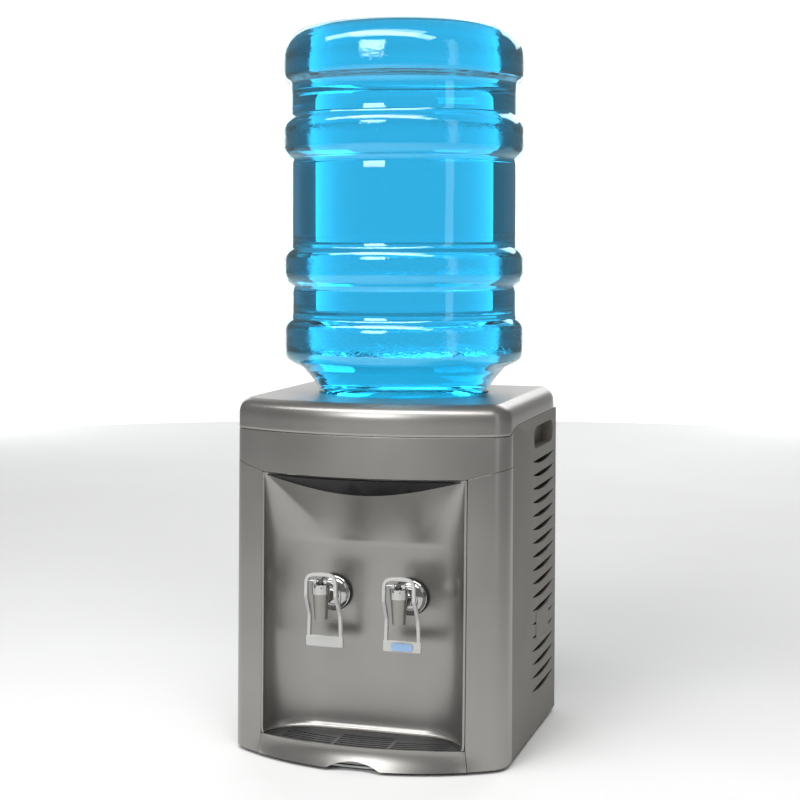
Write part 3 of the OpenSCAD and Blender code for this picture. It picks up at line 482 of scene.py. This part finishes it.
def alcove_line(z, inset):
    """One line round the alcove at height z, from the right lip to the left: a quarter of an
    ellipse, the flat wall, and the ellipse mirrored, moved back by inset. Above the slope's
    foot, k blends it out to the front's arc. By the grille the wall's foot rolls forward as
    a quarter of an ellipse, 9 mm high and 5.5 mm deep."""
    arc = front_curve(z)
    lip = front_apex(z) + arc - math.sqrt(arc * arc - lip_half * lip_half) + 0.4 * MM
    rise = (z - slope_z + 9 * MM) / (alcove_top - slope_z + 9 * MM)
    k = min(max(rise, 0), 1) ** 1.25
    roll = min(max(1 - (z - base_z - 22.4 * MM) / (9 * MM), 0), 1)
    foot = 5.5 * MM * (1 - math.sqrt(1 - roll * roll))
    wall = wall_y - foot
    a = np.linspace(0, math.pi / 2, 28)
    x = wall_half + (lip_half - wall_half - foot * 0.25) * np.cos(a)
    y = lip + (wall - lip) * np.sin(a)
    x, y = x + (lip_half - x) * k, y + (lip - y) * k
    nx, ny = np.cos(a) * (wall - lip), np.sin(a) * (lip_half - wall_half)
    norm = np.hypot(nx, ny)
    x, y = x + inset * np.abs(nx) / norm, y + inset * ny / norm
    t = np.linspace(1, -1, 41)[1:-1]
    brow = np.sqrt((curve_high - 0.4 * MM) ** 2 - (t * lip_half) ** 2)
    top = front_apex(alcove_top) + curve_high - brow
    mid_x = t * wall_half + t * (lip_half - wall_half) * k
    mid_y = wall + (top - wall) * k + inset
    return np.column_stack([np.concatenate([x, mid_x, -x[::-1]]),
        np.concatenate([y, mid_y, y[::-1]])])


def make_alcove():
    """Lines stacked from the foot to the fascia, close together at the roll and at the
    slope's crease, then the same lines 2.4 mm further back."""
    heights = base_z + np.array([22.4, 22.6, 23, 23.7, 24.6, 25.8, 27.2, 29, 31.4, 36, 60, 90, 130,
        170, 205, 222, 227, 230, 234, 238, 243, 249, 256, 264, 272, 280, 288, 296, 302.6]) * MM
    grids = []
    for inset in (0.0, 2.4 * MM):
        lines = np.array([alcove_line(z, inset) for z in heights])
        up = np.broadcast_to(heights[:, None], lines.shape[:2])
        grids.append(np.dstack([lines, up]))
    return rim_caps(shell("alcove", *grids))


place(soften(make_alcove(), 0.5 * MM, angle=50), "cabinet", silver, "alcove_panel", slot="alcove_plastic")


# ---- Black trim ----
# A thin crescent of gloss black ABS under the fascia's seam, bonded to the slope. It is
# deepest in the middle and runs out to points at both ends.

def make_trim():
    """A strip on the slope: x along the seam, and t down the slope, which reaches 0.262 of
    its length times 1 - x^2, and no less than a twentieth of that at the ends."""
    half, narrowing = 107.7 * MM, 0.49
    out_y, out_z = 0.78, 0.63  # the slope's outward direction
    x = np.linspace(-1, 1, 81)[None, :] * half
    t = 0.02 + np.linspace(0, 1, 9)[:, None] * 0.262 * np.maximum(0.05, 1 - (x / half) ** 2)
    front = front_apex(fascia_z) + curve_high - np.sqrt(curve_high ** 2 - x * x)
    grids = []
    for proud in (1.55 * MM, 0.5 * MM):
        y = front + (wall_y - front) * t - proud * out_y
        z = alcove_top + (slope_z - alcove_top) * t - proud * out_z
        grids.append(np.dstack([x * (1 - t * narrowing), y, z]))
    return rim_caps(shell("trim", *grids))


# Polished black ABS: deep black, with sharp reflections that waver slightly.
gloss_black, tree = new_material("gloss_black_ABS")
where = add_node(tree, "ShaderNodeTexCoord").outputs["Object"]
wave = add_node(tree, "ShaderNodeTexNoise", Vector=where, Scale=60.0)
rough = add_node(tree, "ShaderNodeMapRange", Value=wave.outputs["Fac"], To_Min=0.1, To_Max=0.22)
finish_material(tree, add_node(tree, "ShaderNodeBsdfPrincipled", Base_Color=linear("#08080a"),
    IOR=1.49, Specular_IOR_Level=0.3, Roughness=rough.outputs[0]))
place(soften(make_trim(), 0.25 * MM), "cabinet", gloss_black, "black_trim", slot="black_plastic")


# ---- Side panels and label ----
# The sides are flat ABS panels, moulded in grey-brown with a fine matt texture. The
# louvres and the hand grips are moulded in; a plain plate of the same colour covers two.

def dress(material, *nodes, edge=0.0):
    """Gives solids carried over from the CAD a material and smooth shading, with their
    corners kept crisp or, where edge is given in mm, rounded by that much."""
    crisp = 30
    for name in nodes:
        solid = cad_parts[name]
        solid.data.materials.clear()
        solid.data.materials.append(material)
        solid.data.shade_smooth()
        weld = solid.modifiers.new("join", "WELD")
        weld.merge_threshold = 1e-6
        if edge:
            soften(solid, edge * MM, 1, crisp)
        split = solid.modifiers.new("crease", "EDGE_SPLIT")
        split.split_angle = math.radians(crisp)


def plastic(name, dark, light, roughness, grain_mm, bump_strength, ior=1.53, coat=0.0):
    """A moulded plastic: one colour with faint cloudiness, and a mould texture whose grain
    is drawn coarser than the real one where it would be too fine to show."""
    material, tree = new_material(name)
    where = add_node(tree, "ShaderNodeTexCoord").outputs["Object"]
    cloud = add_node(tree, "ShaderNodeTexNoise", Vector=where, Scale=14.0, Detail=3.0)
    grain = add_node(tree, "ShaderNodeTexNoise", Vector=where, Scale=1000 / grain_mm, Detail=2.0)
    tone = add_node(tree, "ShaderNodeMix", {"data_type": "RGBA"}, i0=cloud.outputs["Fac"],
        i6=linear(dark), i7=linear(light))
    rough = add_node(tree, "ShaderNodeMapRange", Value=cloud.outputs["Fac"], From_Min=0.3,
        From_Max=0.7, To_Min=roughness - 0.04, To_Max=roughness + 0.04)
    bump = add_node(tree, "ShaderNodeBump", Height=grain.outputs["Fac"], Strength=bump_strength,
        Distance=0.0003)
    finish_material(tree, add_node(tree, "ShaderNodeBsdfPrincipled", Base_Color=tone.outputs[2],
        IOR=ior, Roughness=rough.outputs[0], Normal=bump.outputs[0], Coat_Weight=coat))
    return material


# Grey-brown ABS from a spark-eroded mould: matt and even, with a fine 0.8 mm grain.
side_grey = plastic("grey_textured_ABS", "#6e6b65", "#76736c", 0.5, 0.8, 0.12)
dress(side_grey, "left_side_panel", "right_side_panel", "blank_label", edge=0.2)


# ---- Drip tray and grille ----
# The tray is moulded in the cabinet's silver ABS and slides under the alcove; its front is
# the apron. The grille on it is dark grey polypropylene with long curved slots.

dress(silver, "drip_tray", edge=0.4)
# Dark grey polypropylene, as moulded: a waxy half-matt that holds soft highlights.
grille_grey = plastic("dark_grey_polypropylene", "#3c3c3d", "#464647", 0.42, 0.6, 0.1, 1.49)
dress(grille_grey, "drip_grille", edge=0.25)


# ---- Taps ----
# Each tap is a die-cast body, chrome plated, with a satin outlet sleeve, a crown nut and a
# steel stem. A black rubber ring seals its flange to the alcove wall.

def metal(name, dark, light, roughness, spread, grain_mm, stretch=(1, 1, 1)):
    """A metal with default IOR: faint tone changes, and roughness that varies over a grain
    whose stretch sets the direction of any brushing."""
    material, tree = new_material(name)
    where = add_node(tree, "ShaderNodeTexCoord").outputs["Object"]
    along = add_node(tree, "ShaderNodeMapping", Vector=where, Scale=stretch)
    grain = add_node(tree, "ShaderNodeTexNoise", Vector=along.outputs[0], Scale=1000 / grain_mm,
        Detail=3.0)
    cloud = add_node(tree, "ShaderNodeTexNoise", Vector=where, Scale=25.0)
    tone = add_node(tree, "ShaderNodeMix", {"data_type": "RGBA"}, i0=cloud.outputs["Fac"],
        i6=linear(dark), i7=linear(light))
    rough = add_node(tree, "ShaderNodeMapRange", Value=grain.outputs["Fac"], From_Min=0.3,
        From_Max=0.7, To_Min=roughness - spread, To_Max=roughness + spread)
    bump = add_node(tree, "ShaderNodeBump", Height=grain.outputs["Fac"], Strength=0.04,
        Distance=0.0001)
    finish_material(tree, add_node(tree, "ShaderNodeBsdfPrincipled", Base_Color=tone.outputs[2],
        Metallic=1.0, Roughness=rough.outputs[0], Normal=bump.outputs[0]))
    return material


# Chrome plated on a polished casting: mirror-like, with a slow waviness of 6 mm.
chrome = metal("chrome_plate", "#adadab", "#bcbcba", 0.1, 0.03, 6)
dress(chrome, "left_tap_body", "right_tap_body", "crown_nuts", edge=0.3)
# Satin nickel plate: a silky sheen from upright brushing, drawn 0.6 mm coarse.
satin = metal("satin_nickel_plate", "#8f8d88", "#9c9a95", 0.34, 0.06, 0.6, (1, 1, 0.1))
dress(satin, "left_spout", "right_spout", edge=0.3)
# Ground stainless rod, dulled by use: darker than the plated parts round it.
stem_steel = metal("dark_stainless_rod", "#5c5b59", "#6a6967", 0.3, 0.08, 0.4, (1, 1, 0.1))
dress(stem_steel, "left_stem", "right_stem", edge=0.15)
# Drawn spring wire: bright, with fine marks of 0.5 mm from the die.
spring_steel = metal("spring_steel_wire", "#9b9a97", "#acaba8", 0.28, 0.08, 0.5)


def make_spring(low, high):
    """A round wire carried along a helix between the corners of its box: five rising turns,
    with half a level turn before and after them."""
    wire, clear = 0.44 * MM, 0.01 * MM
    x, y = (low.x + high.x) / 2, (low.y + high.y) / 2
    coil = (high.x - low.x) / 2 - wire - clear
    v = np.linspace(-math.pi, 11 * math.pi, 6 * 36 + 1)[:, None]
    b = np.linspace(0, 2 * math.pi, 10, endpoint=False)[None, :]
    foot = low.z + wire + 2 * clear
    climb = high.z - low.z - 2 * (wire + 2 * clear)
    z = foot + climb * np.clip(v / (10 * math.pi), 0, 1)
    radius = coil + wire * np.cos(b)
    points = np.dstack([x + radius * np.cos(v), y + radius * np.sin(v), z + wire * np.sin(b)])
    return surface("spring", points, wrap_u=True, cap=True)


for name in ("left", "right"):
    low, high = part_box(name + "_spring")
    spring = place(make_spring(low, high), "cabinet", spring_steel, name + "_spring",
        slot="spring_steel")
    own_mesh(spring)


# ---- Levers ----
# A lever is one polycarbonate moulding: an arch over the tap, two flat arms that are set
# back behind the spout, and a wide pad for the glass. It swings on a pin in the crown nut.

# Light grey polycarbonate from a smooth mould: a clean semi-gloss.
lever_grey = plastic("light_grey_polycarbonate", "#b4b4b2", "#bbbbb9", 0.3, 1.5, 0.04, 1.585, 0.2)
tap_x = 43 * MM
pin_y = rear_edge - 271 * MM
lever_low, lever_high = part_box("left_lever")


def squared(wave, power):
    """Squares off a sine or cosine: its size to a power under 1, with its sign kept."""
    return np.sign(wave) * np.abs(wave) ** power


def make_lever(side):
    """The arms and arch: a squared-off section, 3.6 mm wide and 5 mm deep, swept up one arm,
    over a squared-off arch and down the other. Below the arch the arms spread by 1.9
    degrees, to 19.3 mm at most, and between the knees they step 12.6 mm back."""
    arch_half = 16.2 * MM
    arch_z = base_z + 182 * MM
    knee_low, knee_high, knee = base_z + 153 * MM, base_z + 175 * MM, 1.6 * MM
    down = np.array([arch_z - 2 * MM, arch_z - 5 * MM, knee_high + knee, knee_high, knee_high - knee,
        knee_low + knee, knee_low, knee_low - knee, base_z + 138 * MM, lever_low.z + 4 * MM])
    arm_x = np.minimum(arch_half + (arch_z - down) * math.tan(math.radians(1.9)), 19.3 * MM)
    a = np.linspace(0, math.pi, 33)
    px = np.concatenate([arm_x[::-1], arch_half * squared(np.cos(a), 0.55), -arm_x])[:, None]
    pz = np.concatenate([down[::-1], arch_z + arch_half * np.sin(a) ** 0.45, down])[:, None]
    back = 12.6 * MM * np.clip((knee_high - pz) / (knee_high - knee_low), 0, 1)
    dx, dz = np.gradient(px, axis=0), np.gradient(pz, axis=0)
    step = np.hypot(dx, dz)
    b = np.linspace(0, 2 * math.pi, 24, endpoint=False)[None, :] + math.pi / 24
    across = 1.8 * MM * squared(np.cos(b), 0.28)
    deep = 2.5 * MM * squared(np.sin(b), 0.28)
    points = np.dstack([side * tap_x + px + dz / step * across, pin_y + 0.1 * MM + back + deep,
        pz - dx / step * across])
    return surface("lever_arch", points, wrap_u=True, cap=True)


def make_pad(side):
    """The pad: a squared-off slab 41 mm wide, with u along it and v round it. Its front is
    hollowed by 0.8 mm in the middle, and its lower edge rises 0.5 mm to both ends."""
    half = 20.5 * MM
    u = np.linspace(-1, 1, 41)[:, None]
    v = np.linspace(0, 2 * math.pi, 48, endpoint=False)[None, :]
    high, front = squared(np.sin(v), 0.22), squared(np.cos(v), 0.22)
    end = np.clip((1 - np.abs(u)) * half / (0.8 * MM), 0, 1) ** 0.5
    hollow = np.where(front > 0, 0.8 * MM * (1 - u * u), 0)
    x = side * tap_x + u * half + 0 * v
    y = pin_y + 12.3 * MM - 2.45 * MM * front * (0.84 + 0.16 * end) + hollow
    z = lever_low.z + 6.3 * MM + 6.1 * MM * high * (0.9 + 0.1 * end)
    z = z + 0.5 * MM * u * u * (high < 0)
    return surface("lever_pad", np.dstack([x, y, z]), wrap_u=True, cap=True)


def make_hook(side):
    """The thumb hook on top of the arch: a wedge 10 mm wide with a squared-off section, t
    along it and v round it, that falls away by 0.4 mm to both ends."""
    t = np.linspace(-1, 1, 13)[:, None]
    v = np.linspace(0, 2 * math.pi, 24, endpoint=False)[None, :]
    c, s = squared(np.cos(v), 0.35), squared(np.sin(v), 0.35)
    x = side * tap_x + 5 * MM * t + 0 * v
    y = pin_y + 4.6 * MM + 2.9 * MM * c + 0 * t
    z = lever_high.z - 2.6 * MM + 1.1 * MM * s + 0.9 * MM * c - 0.4 * MM * t * t
    return surface("lever_hook", np.dstack([x, y, z]), wrap_u=True, cap=True)


def join(name, *parts):
    """One object from several closed meshes."""
    work = bmesh.new()
    for part in parts:
        work.from_mesh(part.data)
        bpy.data.objects.remove(part)
    mesh = bpy.data.meshes.new(name)
    work.to_mesh(mesh)
    work.free()
    mesh.shade_smooth()
    piece = bpy.data.objects.new(name, mesh)
    bpy.context.collection.objects.link(piece)
    return piece


for side, name in ((-1, "left"), (1, "right")):
    lever = join(name + "_lever_moulding", make_lever(side), make_pad(side), make_hook(side))
    split = lever.modifiers.new("crease", "EDGE_SPLIT")
    split.split_angle = math.radians(50)
    place(lever, name + "_lever", lever_grey, name + "_lever", slot="lever_plastic")

# Pale blue ink printed on the lever's pad: flat and slightly satin.
cold_blue = plastic("pale_blue_print", "#86a9d0", "#93b3d6", 0.35, 1.5, 0.03)
dress(cold_blue, "cold_marker")


# ---- Bottle ----
# A 20-litre bottle blown in blue-tinted polycarbonate, 1.5 mm thick, standing neck down.
# Four raised rings stiffen it, and their faces carry a pebbled texture.

mouth_z = base_z + 300.5 * MM
bottle_low, bottle_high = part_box("water_bottle")
bottle_tall = (bottle_high.z - bottle_low.z) / MM
bottle_r = 135.0


def bottle_profile(t):
    """The bottle's outline from the mouth up, moved in by t: rows of radius, height and
    texture depth, in mm. A neck, an elliptical shoulder, three rings with rounded edges, and
    a fourth that is rounded over into the foot on top."""
    ring, groove, neck = bottle_r, bottle_r - 7.4, 27.5
    a = np.radians(np.linspace(8, 90, 12))[:-1]
    parts = [
        [(neck, 0, 0), (neck, 20, 0), (neck, 40, 0), (neck + 1, 44, 0), (neck + 4, 47, 0)],
        np.column_stack([31.5 + 61 * np.sin(a), 76 - 29 * np.cos(a), 0 * a]),
        [(95, 81.5, 0), (98.5, 87.5, 0), (101.5, 92.5, 0), (106, 98, 0), (110.5, 103, 0), (115, 108, 0)]]
    for low, high, gap in ((113, 164, 28), (199, 242, 90), (338, 386, 26)):
        face, above = np.linspace(low + 16, high - 16, 14), high + np.linspace(6, gap, 6)
        parts += [
            [(groove - 2, low, 0), (groove + 1, low + 2, 0), (groove + 4.5, low + 5, 0)],
            [(ring - 1.2, low + 9, 0), (ring - 0.2, low + 12, 0.4), (ring, low + 14, 1)],
            np.column_stack([0 * face + ring, face, 0 * face + 1]),
            [(ring, high - 14, 1), (ring - 0.2, high - 12, 0.4), (ring - 1.2, high - 9, 0)],
            [(groove + 4.5, high - 5, 0), (groove + 1.2, high - 2, 0), (groove, high, 0)],
            [(groove - 0.6, high + 3, 0)],
            np.column_stack([0 * above + groove - 0.8, above, 0 * above])]
    top, b = bottle_tall, np.radians(np.linspace(0, 84, 12))
    parts += [
        [(groove - 0.6, top - 67.5, 0), (groove + 1.5, top - 65.5, 0), (groove + 5, top - 62, 0)],
        [(ring - 0.6, top - 58, 0.3), (ring, top - 54, 1), (ring, top - 48, 1), (ring, top - 42, 1)],
        np.column_stack([ring - 34 + 34 * np.cos(b) ** 0.9, top - 38 + 34.6 * np.sin(b), 1 - b / 1.6]),
        [(90, top - 2.6, 0), (78, top - 1.6, 0), (60, top - 0.9, 0), (30, top - 0.4, 0)],
        [(0.5, top - 0.2, 0)]]
    line = np.vstack(parts)
    line = line[np.argsort(line[:, 1], kind="stable")]
    step = np.gradient(line[:, :2], axis=0)
    length = np.hypot(step[:, 0], step[:, 1])
    radius = np.maximum(line[:, 0] - t * step[:, 1] / length, 0.3)
    height = line[:, 1] + t * step[:, 0] / length * (line[:, 1] > 1)
    return np.column_stack([radius, height, line[:, 2]])


def lathe(line, steps, texture=0.0):
    """Turns an outline round the bottle's axis. Texture is a pebbled relief in mm: a product
    of sines at unrelated slants, faded by the outline's texture depth."""
    v = np.linspace(0, 2 * math.pi, steps, endpoint=False)[None, :]
    r, h, depth = line[:, 0:1], line[:, 1:2], line[:, 2:3]
    arc = v * bottle_r
    relief = (np.sin(arc * 1.13 + h * 0.71) * np.sin(h * 0.97 - arc * 0.53)
        * np.sin(arc * 0.071 - h * 0.19))
    r = (r - texture * depth * (1 + relief)) * MM
    return np.dstack([r * np.cos(v), bottle_axis_y + r * np.sin(v), mouth_z + h * MM + 0 * v])


def make_bottle():
    """The outer surface, the mouth's edge and the inner surface 1.5 mm inside it. The
    attribute ring_face is 1 on the rings' faces, where the pebbles are, and 0 elsewhere."""
    outer = lathe(bottle_profile(0.02), 288, 0.1)
    inner = lathe(bottle_profile(1.5), 288)
    wall = surface("bottle_wall", np.concatenate([outer[::-1], inner], 0), wrap_u=True, cap=True)
    points = np.empty(len(wall.data.vertices) * 3)
    wall.data.vertices.foreach_get("co", points)
    x, y, _ = points.reshape(-1, 3).T
    ring = wall.data.attributes.new("ring_face", "FLOAT", "POINT")
    ring.data.foreach_set("value", np.clip((np.hypot(x, y - bottle_axis_y) / MM - 133.8) / 0.8, 0, 1))
    return wall


# Blown polycarbonate, tinted blue: clear and glossy, with slow ripples of 60 mm from the
# blowing and 3 mm pebbles from the mould on its ring faces.
blue_shell, tree = new_material("blue_polycarbonate")
where = add_node(tree, "ShaderNodeTexCoord").outputs["Object"]
pebble = add_node(tree, "ShaderNodeTexNoise", Vector=where, Scale=330.0, Detail=1.0)
ripple = add_node(tree, "ShaderNodeTexNoise", Vector=where, Scale=16.0, Detail=1.0)
ring_face = add_node(tree, "ShaderNodeAttribute", {"attribute_name": "ring_face"})
masked = add_node(tree, "ShaderNodeMath", {"operation": "MULTIPLY"}, i0=pebble.outputs["Fac"],
    i1=ring_face.outputs["Fac"])
height = add_node(tree, "ShaderNodeMath", {"operation": "MULTIPLY_ADD"}, i0=masked.outputs[0],
    i1=0.5, i2=ripple.outputs["Fac"])
bump = add_node(tree, "ShaderNodeBump", Height=height.outputs[0], Strength=0.25, Distance=0.0015)
tint = add_node(tree, "ShaderNodeMix", {"data_type": "RGBA"}, i0=ripple.outputs["Fac"],
    i6=linear("#9ee6f7"), i7=linear("#a6e9f9"))
finish_material(tree, add_node(tree, "ShaderNodeBsdfPrincipled", Base_Color=tint.outputs[2],
    IOR=1.585, Roughness=0.02, Transmission_Weight=1.0, Normal=bump.outputs[0]))
place(make_bottle(), "bottle", blue_shell, "water_bottle", slot="bottle")


# ---- Water ----
# The bottle is full: the water fills it from above the feed spike to the rounded top. It
# is a closed volume, 0.2 mm clear of the wall, and lifts off with the bottle.

def make_water():
    """The bottle's outline moved in by 1.72 mm, from 50 mm above the mouth upward, with a
    point near the axis that closes it below."""
    line = bottle_profile(1.72)
    line = line[line[:, 1] > 50]
    line = np.vstack([[0.3, line[0, 1] + 0.1, 0], line])
    return surface("water", lathe(line, 192), wrap_u=True, cap=True)


# Still water: clear, with no roughness. It is tinted so that the full bottle is deep blue.
water, tree = new_material("drinking_water")
where = add_node(tree, "ShaderNodeTexCoord").outputs["Object"]
swirl = add_node(tree, "ShaderNodeTexNoise", Vector=where, Scale=4.0)
tint = add_node(tree, "ShaderNodeMix", {"data_type": "RGBA"}, i0=swirl.outputs["Fac"],
    i6=linear("#62d6f2"), i7=linear("#6ad9f4"))
finish_material(tree, add_node(tree, "ShaderNodeBsdfPrincipled", Base_Color=tint.outputs[2],
    IOR=1.33, Roughness=0.0, Transmission_Weight=1.0))
place(make_water(), "bottle", water)


# ---- Bottle cap, seat and feed spike ----
# Under the bottle sit white polypropylene parts: the cap on its neck, the seat ring in the
# lid, and the spike that opens the cap. A grey silicone ring seals the seat.

# White polypropylene, as moulded: slightly waxy and soft in its highlights.
white_pp = plastic("white_polypropylene", "#e4e4e0", "#ebebe8", 0.38, 1.2, 0.05, 1.49)
dress(white_pp, "bottle_cap", "bottle_seat", "feed_spike", "tank_lid", "baffle_disc", "thermostat",
    edge=0.2)
# Grey silicone rubber: matt, with no hard highlight.
grey_silicone = plastic("grey_silicone", "#4e4f50", "#58595a", 0.6, 0.8, 0.1, 1.41)
dress(grey_silicone, "seat_seal")


# ---- Chilled tank ----
# A spun stainless tank inside a shell of moulded polystyrene foam, with the evaporator's
# copper tube wound round it, and silicone pipes to the taps and the drain.

# Brushed stainless: hairlines run round the tank, drawn 0.5 mm coarse.
stainless = metal("brushed_stainless", "#b5b5b3", "#c0c0be", 0.28, 0.08, 0.5, (1, 1, 12))
dress(stainless, "cold_tank")
# Moulded polystyrene foam: dull white beads of 4 mm, pressed together.
foam, tree = new_material("expanded_polystyrene")
where = add_node(tree, "ShaderNodeTexCoord").outputs["Object"]
beads = add_node(tree, "ShaderNodeTexVoronoi", Vector=where, Scale=250.0)
tone = add_node(tree, "ShaderNodeMix", {"data_type": "RGBA"}, i0=beads.outputs["Distance"],
    i6=linear("#f2f2ef"), i7=linear("#dededa"))
bump = add_node(tree, "ShaderNodeBump", {"invert": True}, Height=beads.outputs["Distance"],
    Strength=0.3, Distance=0.0005)
finish_material(tree, add_node(tree, "ShaderNodeBsdfPrincipled", Base_Color=tone.outputs[2],
    Roughness=0.8, Normal=bump.outputs[0]))
dress(foam, "tank_insulation")
# Drawn copper tube: warm and half bright, with patches of tarnish.
copper = metal("drawn_copper_tube", "#b5714f", "#c98661", 0.3, 0.1, 3)
dress(copper, "evaporator_coil", "filter_drier", "suction_line", "discharge_line", "capillary_tube")
# Extruded silicone tube: milky, with a soft sheen. It is hidden, so it is made opaque.
clear_tube = plastic("translucent_silicone_tube", "#c9d0d0", "#d3d9d9", 0.35, 2.0, 0.03, 1.41)
dress(clear_tube, "cold_outlet_pipe", "ambient_outlet_pipe", "drain_pipe")


# ---- Rubber parts ----
# Moulded black nitrile rubber: the feet, the compressor's grommets, the rings behind the
# tap flanges and the seals at the stems' lower ends.

# Black nitrile rubber: near black and matt.
rubber = plastic("black_nitrile_rubber", "#161616", "#1f1f1f", 0.62, 0.5, 0.15, 1.52)
dress(rubber, "rubber_feet", "compressor_grommets", "tap_gaskets", "left_valve_seal",
    "right_valve_seal")


# ---- Sheet-metal chassis ----
# The base pan, the rear panel and the condenser's brackets are bent from galvanised sheet
# 1.2 mm thick, whose zinc shows crystals about 9 mm across. Zinc-plated screws hold them.

# Hot-dip galvanised sheet: each zinc crystal has its own grey and its own gloss.
galvanised, tree = new_material("galvanised_sheet")
where = add_node(tree, "ShaderNodeTexCoord").outputs["Object"]
spangle = add_node(tree, "ShaderNodeTexVoronoi", Vector=where, Scale=110.0)
grey = add_node(tree, "ShaderNodeSeparateColor", Color=spangle.outputs["Color"])
tone = add_node(tree, "ShaderNodeMix", {"data_type": "RGBA"}, i0=grey.outputs[0],
    i6=linear("#9ea1a3"), i7=linear("#b9bcbe"))
rough = add_node(tree, "ShaderNodeMapRange", Value=grey.outputs[1], To_Min=0.3, To_Max=0.5)
finish_material(tree, add_node(tree, "ShaderNodeBsdfPrincipled", Base_Color=tone.outputs[2],
    Metallic=1.0, Roughness=rough.outputs[0]))
dress(galvanised, "base_pan", "rear_panel", "condenser_brackets", edge=0.2)
# Zinc plate on steel fasteners: a pale, slightly uneven shine.
zinc = metal("zinc_plated_steel", "#a9abab", "#bcbebe", 0.3, 0.08, 1.5)
dress(zinc, "panel_screws", "compressor_bolts", "tap_lock_nuts", "lever_pins_left", "lever_pins_right")


# ---- Compressor and condenser ----
# A welded steel shell holds the compressor, and a steel tube bent into runs, with wires
# welded across, makes the condenser behind the cabinet. Both are enamelled black.

# Stoved black enamel on steel: glossy, with an orange-peel of 3 mm.
black_enamel = plastic("black_enamelled_steel", "#131314", "#1b1b1c", 0.34, 3.0, 0.05, 1.5, 0.3)
dress(black_enamel, "compressor", "condenser_tube", "condenser_wires")


# ---- Controls and fittings at the rear ----
# The thermostat's knob, the cover over the compressor's relay, the gland for the cord and
# the drain's plug are moulded in black ABS with a fine matt texture.

# Black ABS from a textured mould: matt, with a grain of 0.7 mm.
black_abs = plastic("black_textured_ABS", "#151516", "#1d1d1e", 0.45, 0.7, 0.12)
dress(black_abs, "thermostat_knob", "relay_cover", "cord_gland", "drain_plug", edge=0.25)
